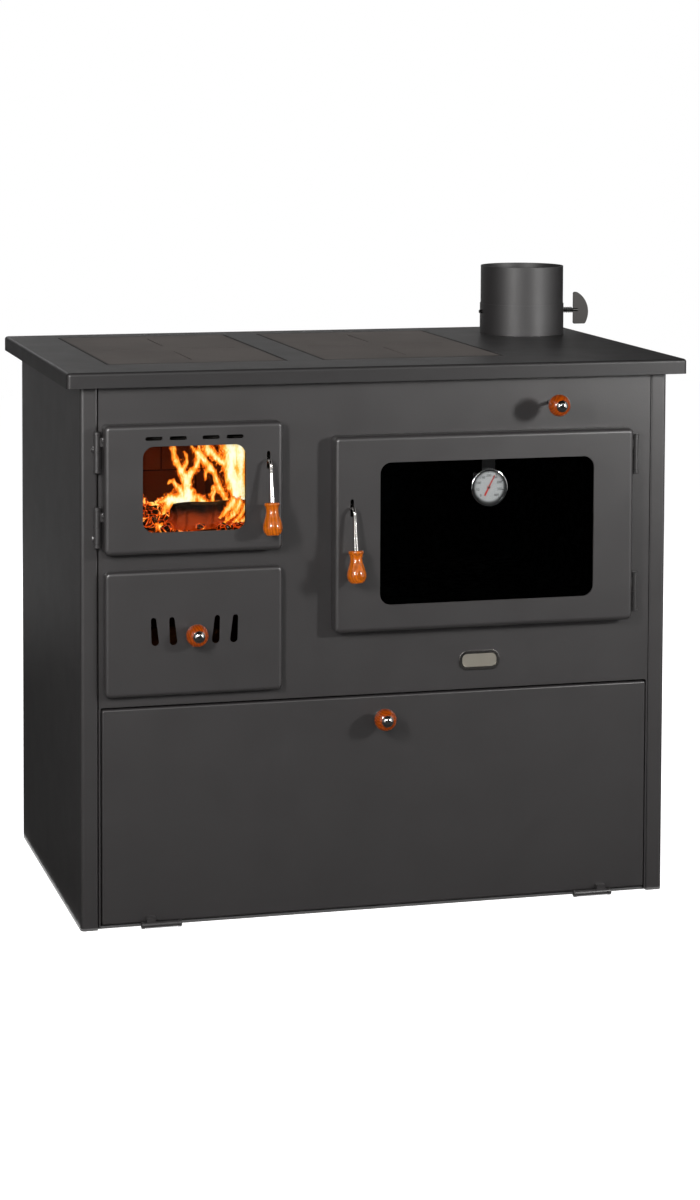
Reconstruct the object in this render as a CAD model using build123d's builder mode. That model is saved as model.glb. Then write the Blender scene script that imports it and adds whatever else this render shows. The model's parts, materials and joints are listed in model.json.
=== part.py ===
from build123d import *
from math import cos, pi, radians, sin, sqrt
import os

# Wood cookstove: firebox and ash drawer on the left, oven on the right, a drop-front
# log store below, two lift-out hotplates and a flue collar with a turning damper on top.
# Millimetres. X runs to the right, Y to the back and Z up. The origin is on the floor,
# under the middle of the body.

os.makedirs("parts", exist_ok=True)

# Body
body_width = 956.0
body_depth = 584.0
upper_height = 522.0
casing_sheet = 2.0
casing_bend = 5.0
post_width = 27.0
post_return = 12.0
panel_sheet = 3.0
panel_side_gap = 1.0
back_flange = 20.0
base_sheet = 2.5
base_hem_height = 6.0
base_recess = 8.0

# Cooktop
side_overhang = 25.0
front_overhang = 26.0
back_overhang = 30.0
rim_height = 24.0
rim_lip = 12.0
top_sheet = 4.0
top_edge_radius = 5.0
top_corner_radius = 6.5

# Hotplates
hotplate_front_margin = 92.0
hotplate_back_margin = 26.0
left_plate_margin = 59.0
left_plate_width = 290.0
plate_spacing = 59.0
right_plate_flue_gap = 159.0
plate_thickness = 8.0
plate_corner = 3.0
plate_gap = 1.2
ledge_width = 8.0
ledge_thickness = 4.0
ledge_rim = 6.0
groove_width = 2.4
groove_depth = 1.2
groove_hub_x = 18.0
groove_hub_y = 45.0
groove_end_x = 33.0
groove_end_y = 50.0
plate_rib_width = 6.0
plate_rib_height = 7.0
plate_rib_inset = 16.0
plate_rib_count = 3

# Doors, as pressed pans
door_sheet = 3.0
door_depth = 24.0
door_stand_off = 3.0
door_edge_radius = 7.0
door_corner_radius = 8.0
glass_thickness = 4.0
glass_margin = 10.0
glass_gap = 0.4
window_collar_sheet = 2.0
liner_sheet = 2.0
liner_setback = 2.5
liner_gap = 0.5
gasket_width = 6.0
gasket_round = 2.0
gasket_gap = 0.3
gasket_inset = 1.5

fire_door_margin = 33.0
fire_door_rise = 340.0
fire_door_width = 280.0
fire_door_height = 200.0
fire_window_side = 59.0
fire_window_rail = 33.5
fire_mouth_lap_side = 37.0
fire_mouth_lap_rail = 24.0
window_corner = 18.0

door_spacing = 84.0
oven_door_margin = 65.0
oven_door_floor_margin = 103.5
oven_door_top_margin = 109.5
oven_window_side = 70.0
oven_window_rail = 42.0
oven_window_shift = 2.5
oven_mouth_lap_side = 40.0
oven_mouth_lap_rail = 29.5

# Air slots over the fire window
air_slot_length = 27.0
air_slot_height = 6.0
air_slot_rise = 78.6
air_slot_offsets = (-63.5, -25.8, 25.8, 63.5)

# Weld-on lift-off hinges
barrel_radius = 5.2
barrel_half = 31.5
barrel_ring_radius = 6.0
barrel_ring_length = 5.0
barrel_ring_groove = 1.6
barrel_groove_depth = 0.5
barrel_chamfer = 0.6
seam_gap = 0.4
hinge_pin_radius = 2.5
hinge_pin_length = 22.0
running_gap = 0.05
hinge_offset = 8.5
hinge_stand_off = 9.0
hinge_lug_length = 14.0
hinge_lug_half = 3.0
fire_hinge_inset = 42.0
oven_hinge_inset = 43.0

# Door latches
latch_reach = 14.0
latch_slot_height = 28.0
latch_slot_width = 5.6
latch_pivot_depth = 16.0
latch_pivot_radius = 3.0
latch_hub_radius = 6.0
latch_plate = 4.0
latch_rod_radius = 2.5
latch_bend_radius = 9.0
latch_taper_at = 18.0
latch_drop = 64.0
latch_lean = 8.0
latch_cheek_gap = 0.5
latch_ferrule_radius = 4.6
latch_bar_half = 4.0
latch_tooth_height = 14.0
latch_tooth_length = 7.0
keeper_pin_radius = 3.0
keeper_pin_reach = 22.0
keeper_pin_rise = 9.5
keeper_play = 0.6
keeper_cheek = 2.5
keeper_gap = 3.0
keeper_slot_width = 10.0
keeper_slot_play = 8.4
keeper_foot_height = 12.0
liner_slot_play = 6.0
grip_length = 50.0
grip_collar_radius = 12.0
grip_collar_length = 5.5
grip_edge = 1.2
grip_waist_radius = 9.8
grip_waist_at = 16.0
grip_belly_radius = 15.2
grip_belly_at = 37.0
grip_foot_radius = 9.5
fire_latch_inset = 23.3
fire_latch_rise = 40.5
oven_latch_inset = 27.0
oven_latch_rise = 42.5

# Ash drawer
drawer_margin = 35.5
drawer_rise = 115.0
drawer_width = 280.0
drawer_height = 195.0
drawer_depth = 14.0
drawer_stand_off = 2.0
drawer_sheet = 2.5
drawer_edge_radius = 6.0
drawer_mouth_lap_side = 15.0
drawer_mouth_lap_rail = 15.5
tray_side_room = 5.0
tray_length = 400.0
tray_height = 56.0
tray_sheet = 1.5
tray_lift = 3.0
tray_gap = 0.5
drawer_knob_drop = 2.0
drawer_slot_rise = 5.0
drawer_slot_height = 44.0
drawer_slot_top = 8.5
drawer_slot_bottom = 12.0
drawer_slot_lean = 4.5
drawer_slot_offsets = (-63.3, -34.5, 34.5, 63.3)
shutter_sheet = 1.2
shutter_gap = 0.5
shutter_radius = 76.0
shutter_hub_radius = 13.0
shutter_high_half_angle = 43.0
shutter_low_half_angle = 57.0
air_mouth_height = 72.0

# Log store flap
store_height = 348.0
flap_side_gap = 2.0
flap_top_gap = 3.0
flap_floor_gap = 8.0
flap_depth = 15.0
flap_proud = 3.0
flap_sheet = 1.5
flap_edge_radius = 3.0
store_wall = 2.5
flap_hinge_inset = 91.5
flap_hinge_radius = 4.8
flap_hinge_ring_radius = 5.4
flap_hinge_height = 6.2
flap_hinge_stand_off = 11.5
flap_lug_top = 18.0
flap_knob_drop = 35.5
catch_width = 46.0
catch_height = 14.0
catch_depth = 16.0
catch_gap = 0.6
catch_edge = 1.0

# Turned wooden knobs with a chromed cap, neck and through bolt
knob_ball_radius = 17.5
knob_length = 32.0
knob_neck_radius = 6.5
knob_neck_waist = 4.6
knob_neck_bead = 1.0
knob_seat_gap = 0.3
knob_cap_radius = 9.5
knob_cap_rise = 5.5
knob_cap_shoulder_radius = 7.1
knob_cap_shoulder_rise = 3.4
knob_bolt_radius = 3.0
drawer_knob_neck = 4.0
flap_knob_neck = 14.0
bypass_knob_neck = 4.0

# Hearth
hearth_sheet = 3.0
hearth_side_gap = 6.0
hearth_back_gap = 14.0
partition_offset = 31.0
partition_sheet = 4.0
partition_smoke_gap = 76.0
brick_thickness = 32.0
brick_height = 190.0
brick_edge = 3.0
brick_front_gap = 3.0
grate_rise = 230.0
grate_shelf_sheet = 4.0
grate_width = 210.0
grate_length = 330.0
grate_thickness = 16.0
grate_slot_width = 10.0
grate_slot_length = 130.0
grate_slot_count = 9
grate_gap = 1.5
runner_width = 14.0

# Oven box
oven_sheet = 2.0
oven_back_gap = 107.0
oven_side_room = 2.0
oven_rib_count = 3
oven_rib_height = 8.0
oven_rib_reach = 6.0
oven_rib_spacing = 60.0

# Flue collar and its damper
flue_side_inset = 87.0
flue_back_inset = 106.0
collar_radius = 73.5
spigot_radius = 72.4
collar_wall = 3.0
collar_height = 119.0
collar_drop = 12.0
spigot_height = 66.0
damper_height = 39.0
damper_shaft_radius = 3.0
damper_shaft_edge = 0.6
damper_plate_radius = 66.0
damper_plate_sheet = 2.5
damper_sleeve_radius = 5.5
damper_sleeve_length = 90.0
damper_relief_play = 0.5
damper_pin_end = 5.0
damper_handle_reach = 95.5
damper_handle_width = 28.0
damper_handle_height = 56.5
damper_handle_sheet = 3.0
damper_handle_tip = 6.5
damper_handle_foot = 22.0
damper_handle_fullest = 22.0
damper_handle_below = 24.9
damper_handle_slot = 9.0
spring_wire = 1.4
spring_coil_radius = 4.5
spring_turns = 6
spring_end_gap = 0.5

# Oven by-pass slide behind the pull rod
rod_side_inset = 200.0
rod_drop = 66.5
rod_radius = 3.0
rod_hole_radius = 3.6
rod_knob_stand_off = 51.0
rod_head_lap = 1.0
slide_length = 136.0
slide_height = 96.0
slide_sheet = 3.0
slide_lead = 72.0
slide_travel = 110.0
slide_gap = 0.6
rail_sheet = 2.0
rail_lap = 8.0
rail_end = 5.0
flue_box_reach = 86.0
flue_box_sheet = 2.5
flue_box_gap = 7.0
port_width = 104.0
port_height = 78.0
port_lead = 26.0

# Oven thermometer, hung in front of the glass
dial_case_radius = 30.0
dial_case_depth = 7.4
dial_case_wall = 1.0
dial_bezel = 3.0
dial_radius = 28.4
dial_sheet = 0.8
dial_drop = 44.5
dial_shift = 1.0
dial_lens_sheet = 1.0
dial_lens_setback = 0.8
needle_length = 21.0
needle_tail = 15.0
needle_sheet = 0.6
needle_tail_half = 1.3
needle_tip_half = 0.4
needle_lift = 0.8
needle_hub_radius = 2.6
needle_pin_radius = 1.0
needle_rest_angle = 27.0
hanger_width = 22.0
hanger_sheet = 1.0
hanger_lap = 8.0

# Places worked out from the sizes above
front_y = -body_depth / 2
back_y = body_depth / 2
cooking_height = store_height + upper_height
body_top = cooking_height - top_sheet
side_x = body_width / 2
post_inner_x = side_x - post_width
panel_half = post_inner_x - panel_side_gap

fire_door_x = -side_x + fire_door_margin + fire_door_width / 2
fire_door_z = store_height + fire_door_rise
fire_door_right = fire_door_x + fire_door_width / 2
fire_window_width = fire_door_width - 2 * fire_window_side
fire_window_height = fire_door_height - 2 * fire_window_rail
fire_mouth_width = fire_door_width - 2 * fire_mouth_lap_side
fire_mouth_height = fire_door_height - 2 * fire_mouth_lap_rail
fire_latch_x = fire_door_right - fire_latch_inset
fire_latch_z = fire_door_z + fire_latch_rise

oven_door_left = fire_door_right + door_spacing
oven_door_width = side_x - oven_door_margin - oven_door_left
oven_door_x = oven_door_left + oven_door_width / 2
oven_door_height = upper_height - oven_door_floor_margin - oven_door_top_margin
oven_door_z = store_height + oven_door_floor_margin + oven_door_height / 2
oven_window_width = oven_door_width - 2 * oven_window_side
oven_window_height = oven_door_height - 2 * oven_window_rail
oven_window_x = oven_door_x + oven_window_shift
oven_mouth_width = oven_door_width - 2 * oven_mouth_lap_side
oven_mouth_height = oven_door_height - 2 * oven_mouth_lap_rail
oven_latch_x = oven_door_left + oven_latch_inset
oven_latch_z = oven_door_z + oven_latch_rise

drawer_x = -side_x + drawer_margin + drawer_width / 2
drawer_z = store_height + drawer_rise
drawer_mouth_width = drawer_width - 2 * drawer_mouth_lap_side
drawer_mouth_height = drawer_height - 2 * drawer_mouth_lap_rail
tray_width = drawer_mouth_width - 2 * tray_side_room

flue_x = side_x - flue_side_inset
flue_y = back_y - flue_back_inset
damper_handle_x = flue_x + damper_handle_reach
rod_x = side_x - rod_side_inset
rod_z = cooking_height - rod_drop
port_y = flue_y - port_lead

hotplate_depth = body_depth - hotplate_front_margin - hotplate_back_margin
left_plate_x = -side_x + left_plate_margin + left_plate_width / 2
right_plate_left = left_plate_x + left_plate_width / 2 + plate_spacing
right_plate_width = flue_x - right_plate_flue_gap - right_plate_left
right_plate_x = right_plate_left + right_plate_width / 2

door_front_y = front_y - door_stand_off - door_depth
door_back_y = front_y - door_stand_off
liner_back_y = door_back_y - liner_setback
glass_front_y = door_front_y + door_sheet + hanger_sheet + glass_gap
glass_back_y = glass_front_y + glass_thickness
hinge_y = front_y - hinge_stand_off
latch_pivot_y = door_front_y + latch_pivot_depth
fire_hinge_x = fire_door_x - fire_door_width / 2 - hinge_offset
oven_hinge_x = oven_door_x + oven_door_width / 2 + hinge_offset
drawer_front_y = front_y - drawer_stand_off - drawer_depth
drawer_back_y = front_y - drawer_stand_off
drawer_knob_z = drawer_z - drawer_knob_drop
flap_front_y = front_y - flap_proud
flap_hinge_y = front_y - flap_hinge_stand_off
store_half = panel_half
flap_half = store_half - store_wall - flap_side_gap
hearth_half = side_x - casing_sheet - hearth_side_gap
hearth_back_y = back_y - casing_sheet - hearth_back_gap
hearth_front_y = front_y + panel_sheet
hearth_floor = store_height + store_wall
partition_x = fire_door_right + partition_offset
partition_top = body_top - partition_smoke_gap
grate_level = store_height + grate_rise
flap_hinge_x = flap_half - flap_hinge_inset
flap_knob_z = store_height - flap_knob_drop
damper_z = cooking_height + damper_height


def facing(y):
    """A sketch plane across the stove at depth y, seen from the front: X right, Z up."""
    return Plane.XZ.offset(-y)


def level(z):
    return Plane.XY.offset(z)


def box_between(x, y, z, mode=Mode.ADD):
    """A block given by its low and high value along each axis."""
    with Locations(((x[0] + x[1]) / 2, (y[0] + y[1]) / 2, (z[0] + z[1]) / 2)):
        Box(x[1] - x[0], y[1] - y[0], z[1] - z[0], mode=mode)


def span(middle, width):
    return (middle - width / 2, middle + width / 2)


def finish(part, name):
    part.part.label = name
    export_step(part.part, f"parts/{name}.step")


# Casing

def side_panel(side):
    """Bent sheet: front post with its return, the side, and a flange at the back."""
    wall_x = side * (side_x - casing_sheet / 2)
    post_x = side * (post_inner_x + casing_sheet / 2)
    post_y = front_y + casing_sheet / 2
    flange_y = back_y - casing_sheet / 2
    with BuildPart() as panel:
        with BuildSketch(level(0)):
            with BuildLine():
                FilletPolyline(
                    (post_x, front_y + post_return),
                    (post_x, post_y),
                    (wall_x, post_y),
                    (wall_x, flange_y),
                    (wall_x - side * back_flange, flange_y),
                    radius=[casing_bend / 2, casing_bend, casing_bend],
                )
            trace(line_width=casing_sheet)
        extrude(amount=body_top)
    return panel


side_panel_left = side_panel(-1)
finish(side_panel_left, "side_panel_left")
side_panel_right = side_panel(1)
finish(side_panel_right, "side_panel_right")

keeper_slot_length = 2 * (latch_tooth_height + keeper_slot_play)
with BuildPart() as front_panel:
    with BuildSketch(facing(hearth_front_y)):
        with Locations((0, (store_height + body_top) / 2)):
            Rectangle(2 * panel_half, body_top - store_height)
        with Locations((fire_door_x, fire_door_z)):
            RectangleRounded(fire_mouth_width, fire_mouth_height, window_corner, mode=Mode.SUBTRACT)
        with Locations((oven_door_x, oven_door_z)):
            RectangleRounded(oven_mouth_width, oven_mouth_height, window_corner, mode=Mode.SUBTRACT)
        with Locations((drawer_x, drawer_z)):
            Rectangle(drawer_mouth_width, drawer_mouth_height, mode=Mode.SUBTRACT)
        with Locations((rod_x, rod_z)):
            Circle(rod_hole_radius, mode=Mode.SUBTRACT)
        for latch_x, latch_z in ((fire_latch_x, fire_latch_z), (oven_latch_x, oven_latch_z)):
            with Locations((latch_x, latch_z - latch_bar_half)):
                SlotOverall(keeper_slot_length, keeper_slot_width, rotation=90, mode=Mode.SUBTRACT)
    extrude(amount=panel_sheet)
finish(front_panel, "front_panel")

with BuildPart() as back_panel:
    back_inner_y = back_y - 2 * casing_sheet
    with BuildSketch(facing(back_y - casing_sheet)):
        with Locations((0, body_top / 2)):
            Rectangle(2 * (side_x - casing_bend - casing_sheet), body_top)
    extrude(amount=casing_sheet)
finish(back_panel, "back_panel")

with BuildPart() as base_plate:
    base_x = side_x - casing_sheet
    base_front_y = front_y + base_recess
    base_back_y = back_y - casing_sheet - casing_bend
    hem_x = store_half - store_wall
    box_between((-base_x, base_x), (base_front_y + post_return, base_back_y), (0, base_sheet))
    box_between((-store_half, store_half), (base_front_y, base_front_y + post_return), (0, base_sheet))
    box_between((-hem_x, hem_x), (base_front_y, base_front_y + base_sheet), (0, base_hem_height))
finish(base_plate, "base_plate")

# Log store: side walls and shelf bent from one sheet, standing on the base, and the flap's catch

with BuildPart() as log_store:
    wall_x = store_half - store_wall / 2
    with BuildSketch(facing(back_inner_y)):
        with BuildLine():
            FilletPolyline(
                (-wall_x, base_sheet),
                (-wall_x, store_height + store_wall / 2),
                (wall_x, store_height + store_wall / 2),
                (wall_x, base_sheet),
                radius=casing_bend,
            )
        trace(line_width=store_wall)
    extrude(amount=back_inner_y - front_y)
    box_between(
        (-store_half, store_half),
        (front_y, hearth_front_y),
        (store_height, store_height + store_wall),
        mode=Mode.SUBTRACT,
    )
finish(log_store, "log_store")

catch_y = flap_front_y + flap_depth + catch_gap
with BuildPart() as flap_catch:
    box_between(
        span(0, catch_width),
        (catch_y, catch_y + catch_depth),
        (store_height - catch_height, store_height),
    )
    chamfer(flap_catch.faces().sort_by(Axis.Z)[0].edges(), catch_edge)
finish(flap_catch, "flap_catch")

# Cooktop: one pressed pan with a rolled lip, ledges for the hotplates and the flue hole

top_half = side_x + side_overhang
top_y = (front_y - front_overhang, back_y + back_overhang)
top_z = cooking_height
plate_y = front_y + hotplate_front_margin + hotplate_depth / 2
plates = ((left_plate_x, left_plate_width), (right_plate_x, right_plate_width))

with BuildPart() as cooktop:
    with BuildSketch(level(top_z - rim_height)):
        with Locations((0, sum(top_y) / 2)):
            RectangleRounded(2 * top_half, top_y[1] - top_y[0], top_corner_radius)
    extrude(amount=rim_height)
    fillet(cooktop.faces().sort_by(Axis.Z)[-1].edges(), top_edge_radius)
    with BuildSketch(level(top_z - rim_height + top_sheet)):
        with Locations((0, sum(top_y) / 2)):
            Rectangle(2 * (top_half - top_sheet), top_y[1] - top_y[0] - 2 * top_sheet)
    extrude(amount=rim_height - 2 * top_sheet, mode=Mode.SUBTRACT)
    with BuildSketch(level(top_z - rim_height)):
        with Locations((0, sum(top_y) / 2)):
            Rectangle(2 * (top_half - rim_lip), top_y[1] - top_y[0] - 2 * rim_lip)
    extrude(amount=top_sheet, mode=Mode.SUBTRACT)
    ledge_z = top_z - plate_thickness - ledge_thickness
    with BuildSketch(level(ledge_z)):
        for plate_x, plate_width in plates:
            with Locations((plate_x, plate_y)):
                Rectangle(plate_width + 2 * ledge_rim, hotplate_depth + 2 * ledge_rim)
    extrude(amount=top_z - ledge_z - top_sheet)
    with BuildSketch(level(top_z)):
        for plate_x, plate_width in plates:
            with Locations((plate_x, plate_y)):
                RectangleRounded(
                    plate_width + 2 * plate_gap, hotplate_depth + 2 * plate_gap, plate_corner + plate_gap
                )
    extrude(amount=-plate_thickness, mode=Mode.SUBTRACT)
    with BuildSketch(level(top_z)):
        for plate_x, plate_width in plates:
            with Locations((plate_x, plate_y)):
                Rectangle(plate_width - 2 * ledge_width, hotplate_depth - 2 * ledge_width)
        with Locations((flue_x, flue_y)):
            Circle(collar_radius)
    extrude(amount=-rim_height, mode=Mode.SUBTRACT)
finish(cooktop, "cooktop")


def hotplate(plate_x, plate_width):
    """Cast plate with a broken cross cut in its top and ribs under it."""
    with BuildPart() as plate:
        with BuildSketch(level(top_z - plate_thickness)):
            with Locations((plate_x, plate_y)):
                RectangleRounded(plate_width, hotplate_depth, plate_corner)
        extrude(amount=plate_thickness)
        chamfer(plate.faces().sort_by(Axis.Z)[-1].edges(), plate_gap / 2)
        reach_x = plate_width / 2 - groove_end_x
        reach_y = hotplate_depth / 2 - groove_end_y
        with BuildSketch(level(top_z)):
            for way in (-1, 1):
                with Locations((plate_x + way * (reach_x + groove_hub_x) / 2, plate_y)):
                    SlotOverall(reach_x - groove_hub_x, groove_width)
                with Locations((plate_x, plate_y + way * (reach_y + groove_hub_y) / 2)):
                    SlotOverall(reach_y - groove_hub_y, groove_width, rotation=90)
        extrude(amount=-groove_depth, mode=Mode.SUBTRACT)
        rib_width = plate_width - 2 * plate_rib_inset
        rib_length = hotplate_depth - 2 * plate_rib_inset
        with BuildSketch(level(top_z - plate_thickness)):
            with Locations((plate_x, plate_y)):
                with GridLocations(0, rib_length / (plate_rib_count - 1), 1, plate_rib_count):
                    Rectangle(rib_width, plate_rib_width)
                with GridLocations(rib_width / (plate_rib_count - 1), 0, plate_rib_count, 1):
                    Rectangle(plate_rib_width, rib_length)
        extrude(amount=-plate_rib_height)
    return plate


hotplate_left = hotplate(left_plate_x, left_plate_width)
finish(hotplate_left, "hotplate_left")
hotplate_right = hotplate(right_plate_x, right_plate_width)
finish(hotplate_right, "hotplate_right")

# Hearth: casing with the ash tray's runners, partition, grate shelf and bricks

hearth_top = body_top
tray_y = (drawer_back_y, drawer_back_y + tray_length)
tray_bottom = drawer_z - drawer_mouth_height / 2 + tray_lift
hearth_inner_x = hearth_half - hearth_sheet
hearth_inner_back = hearth_back_y - hearth_sheet
hearth_inner_floor = hearth_floor + hearth_sheet

with BuildPart() as hearth_casing:
    box_between((-hearth_half, hearth_half), (hearth_front_y, hearth_back_y), (hearth_floor, hearth_top))
    box_between(
        (-hearth_inner_x, hearth_inner_x),
        (hearth_front_y, hearth_inner_back),
        (hearth_inner_floor, hearth_top),
        mode=Mode.SUBTRACT,
    )
    for side in (-1, 1):
        post_x = (panel_half, hearth_half) if side > 0 else (-hearth_half, -panel_half)
        post_y = (hearth_front_y, front_y + 2 * post_return)
        box_between(post_x, post_y, (hearth_floor, hearth_top), mode=Mode.SUBTRACT)
        wall_in = (panel_half - hearth_sheet, hearth_half)
        wall_at = wall_in if side > 0 else (-wall_in[1], -wall_in[0])
        return_y = (front_y + 2 * post_return, front_y + 2 * post_return + hearth_sheet)
        box_between(wall_at, return_y, (hearth_floor, hearth_top))
        cheek = (panel_half - hearth_sheet, panel_half)
        cheek_at = cheek if side > 0 else (-cheek[1], -cheek[0])
        box_between(cheek_at, (hearth_front_y, return_y[1]), (hearth_floor, hearth_top))
        runner_x = drawer_x + side * (tray_width / 2 - runner_width)
        runner_z = (hearth_inner_floor, tray_bottom - tray_gap)
        box_between(span(runner_x, runner_width), (hearth_front_y, hearth_inner_back), runner_z)
finish(hearth_casing, "hearth_casing")

partition_span = (partition_x, partition_x + partition_sheet)
with BuildPart() as hearth_partition:
    box_between(partition_span, (hearth_front_y, hearth_inner_back), (hearth_inner_floor, partition_top))
finish(hearth_partition, "hearth_partition")

chamber_x = (-panel_half + hearth_sheet, partition_x)
grate_x = (partition_x - hearth_inner_x) / 2
grate_y = hearth_front_y + (hearth_inner_back - hearth_front_y) / 2 - brick_thickness / 2

with BuildPart() as grate_shelf:
    shelf_z = (grate_level, grate_level + grate_shelf_sheet)
    notch_back_y = front_y + 2 * post_return + hearth_sheet
    grate_hole_x = span(grate_x, grate_width - 2 * ledge_width)
    grate_hole_y = span(grate_y, grate_length - 2 * ledge_width)
    box_between(chamber_x, (hearth_front_y, notch_back_y), shelf_z)
    box_between((-hearth_inner_x, partition_x), (notch_back_y, hearth_inner_back), shelf_z)
    box_between(grate_hole_x, grate_hole_y, shelf_z, mode=Mode.SUBTRACT)
finish(grate_shelf, "grate_shelf")

shelf_top = grate_level + grate_shelf_sheet
with BuildPart() as fire_grate:
    with BuildSketch(level(shelf_top)):
        with Locations((grate_x, grate_y)):
            RectangleRounded(grate_width, grate_length, plate_corner)
            slot_spacing = (grate_width - 2 * ledge_width) / grate_slot_count
            with GridLocations(slot_spacing, grate_slot_length + grate_slot_width, grate_slot_count, 2):
                SlotOverall(grate_slot_length, grate_slot_width, rotation=90, mode=Mode.SUBTRACT)
    extrude(amount=grate_thickness)
    chamfer(fire_grate.faces().sort_by(Axis.Z)[-1].outer_wire().edges(), grate_gap)
finish(fire_grate, "fire_grate")

brick_z = (shelf_top, shelf_top + brick_height)
brick_front_y = notch_back_y + brick_front_gap
brick_back_y = hearth_inner_back - brick_thickness


def firebrick(x, y):
    with BuildPart() as brick:
        box_between(x, y, brick_z)
        chamfer(brick.faces().sort_by(Axis.Z)[-1].edges(), brick_edge)
    return brick


wall_x = -hearth_inner_x
firebrick_left = firebrick((wall_x, wall_x + brick_thickness), (brick_front_y, brick_back_y))
finish(firebrick_left, "firebrick_left")
firebrick_right = firebrick((partition_x - brick_thickness, partition_x), (brick_front_y, brick_back_y))
finish(firebrick_right, "firebrick_right")
firebrick_back = firebrick((wall_x, partition_x), (brick_back_y, hearth_inner_back))
finish(firebrick_back, "firebrick_back")

# Oven box with its shelf runners, held in the front panel's opening

oven_x = span(oven_door_x, oven_mouth_width + 2 * oven_side_room)
oven_z = span(oven_door_z, oven_mouth_height + 2 * oven_side_room)
oven_y = (hearth_front_y, hearth_inner_back - oven_back_gap)
oven_length = oven_y[1] - oven_y[0]
with BuildPart() as oven_box:
    with BuildSketch(facing(oven_y[1])):
        with Locations((oven_door_x, oven_door_z)):
            RectangleRounded(
                oven_x[1] - oven_x[0] + 2 * oven_sheet,
                oven_z[1] - oven_z[0] + 2 * oven_sheet,
                window_corner + oven_sheet,
            )
    extrude(amount=oven_length)
    with BuildSketch(facing(oven_y[1] - oven_sheet)):
        with Locations((oven_door_x, oven_door_z)):
            RectangleRounded(oven_x[1] - oven_x[0], oven_z[1] - oven_z[0], window_corner)
    extrude(amount=oven_length, mode=Mode.SUBTRACT)
    with BuildSketch(facing(oven_y[1] - oven_sheet)):
        for way in (-1, 1):
            wall = oven_x[1] if way > 0 else oven_x[0]
            with Locations((wall - way * oven_rib_reach / 2, oven_door_z)):
                with GridLocations(0, oven_rib_spacing, 1, oven_rib_count):
                    Rectangle(oven_rib_reach, oven_rib_height)
    extrude(amount=oven_length - 2 * window_corner)
finish(oven_box, "oven_box")

# Flue box: sheet walls that carry the by-pass port and the rails of its slide

slide_x = span(rod_x, slide_sheet)
slide_y = (port_y - slide_lead, port_y - slide_lead + slide_length)
box_wall_x = (slide_x[1] + slide_gap, slide_x[1] + slide_gap + flue_box_sheet)
box_y = (flue_y - flue_box_reach, hearth_inner_back)
flue_box_floor = oven_z[1] + oven_sheet + flue_box_gap
with BuildPart() as flue_box:
    box_between(box_wall_x, box_y, (flue_box_floor, hearth_top))
    box_between(
        (box_wall_x[1], hearth_inner_x),
        (box_y[0], box_y[0] + flue_box_sheet),
        (flue_box_floor, hearth_top),
    )
    box_between(
        (box_wall_x[1], hearth_inner_x),
        (box_y[0] + flue_box_sheet, oven_y[1] + hearth_sheet),
        (flue_box_floor, flue_box_floor + flue_box_sheet),
    )
    box_between(box_wall_x, span(port_y, port_width), span(rod_z, port_height), mode=Mode.SUBTRACT)
    rail_y = (slide_y[0] - slide_travel + rail_end, hearth_inner_back)
    web_x = (slide_x[0] - slide_gap - rail_sheet, box_wall_x[0])
    for way in (-1, 1):
        edge_z = rod_z + way * (slide_height / 2 + slide_gap)
        web_z = sorted((edge_z, edge_z + way * rail_sheet))
        lap_z = sorted((edge_z, edge_z - way * rail_lap))
        box_between(web_x, rail_y, web_z)
        box_between((web_x[0], web_x[0] + rail_sheet), rail_y, lap_z)
finish(flue_box, "flue_box")

with BuildPart() as bypass_slide:
    with BuildSketch(Plane.YZ.offset(slide_x[0])):
        with Locations((sum(slide_y) / 2, rod_z)):
            RectangleRounded(slide_length, slide_height, plate_corner)
    extrude(amount=slide_sheet)
finish(bypass_slide, "bypass_slide")


# Turned knob: wooden ball on a chromed bolt that shows as a cap in front and a neck behind

def knob_ball(x, seat_y, z, neck):
    """Wooden ball on the axis -Y; its back stands a neck's length off the seat."""
    back = neck
    middle = back + knob_length / 2
    front = back + knob_length
    with BuildPart() as ball:
        with BuildSketch(Plane((x, seat_y, z), x_dir=(1, 0, 0), z_dir=(0, 0, 1))):
            with BuildLine():
                Polyline(
                    (knob_bolt_radius, -front + knob_cap_rise / 2),
                    (knob_bolt_radius, -back),
                    (knob_neck_radius, -back),
                )
                ThreePointArc(
                    (knob_neck_radius, -back),
                    (knob_ball_radius, -middle),
                    (knob_cap_radius, -front + knob_cap_rise / 2),
                )
                Line(
                    (knob_cap_radius, -front + knob_cap_rise / 2),
                    (knob_bolt_radius, -front + knob_cap_rise / 2),
                )
            make_face()
        revolve(axis=Axis((x, seat_y, z), (0, -1, 0)))
    return ball


def knob_bolt(x, seat_y, z, neck, tail):
    """Chromed cap, through bolt and neck; the bolt's tail runs back past the seat."""
    back = neck
    seat = -(back + knob_length) + knob_cap_rise / 2
    with BuildPart() as bolt:
        with BuildSketch(Plane((x, seat_y, z), x_dir=(1, 0, 0), z_dir=(0, 0, 1))):
            with BuildLine():
                ThreePointArc(
                    (0, seat - knob_cap_rise),
                    (knob_cap_shoulder_radius, seat - knob_cap_shoulder_rise),
                    (knob_cap_radius, seat),
                )
                Polyline(
                    (knob_cap_radius, seat),
                    (knob_bolt_radius, seat),
                    (knob_bolt_radius, -back),
                    (knob_neck_radius, -back),
                    (knob_neck_radius, -back + knob_neck_bead),
                    (knob_neck_waist, -back / 2),
                    (knob_neck_radius, -knob_seat_gap),
                    (knob_bolt_radius, -knob_seat_gap),
                    (knob_bolt_radius, tail),
                    (0, tail),
                    (0, seat - knob_cap_rise),
                )
            make_face()
        revolve(axis=Axis((x, seat_y, z), (0, -1, 0)))
    return bolt


# By-pass rod: its knob stands off the panel, and the rod runs back to the slide

rod_seat_y = front_y - rod_knob_stand_off + bypass_knob_neck + knob_length / 2
bypass_knob = knob_ball(rod_x, rod_seat_y, rod_z, bypass_knob_neck)
finish(bypass_knob, "bypass_knob")

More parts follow.
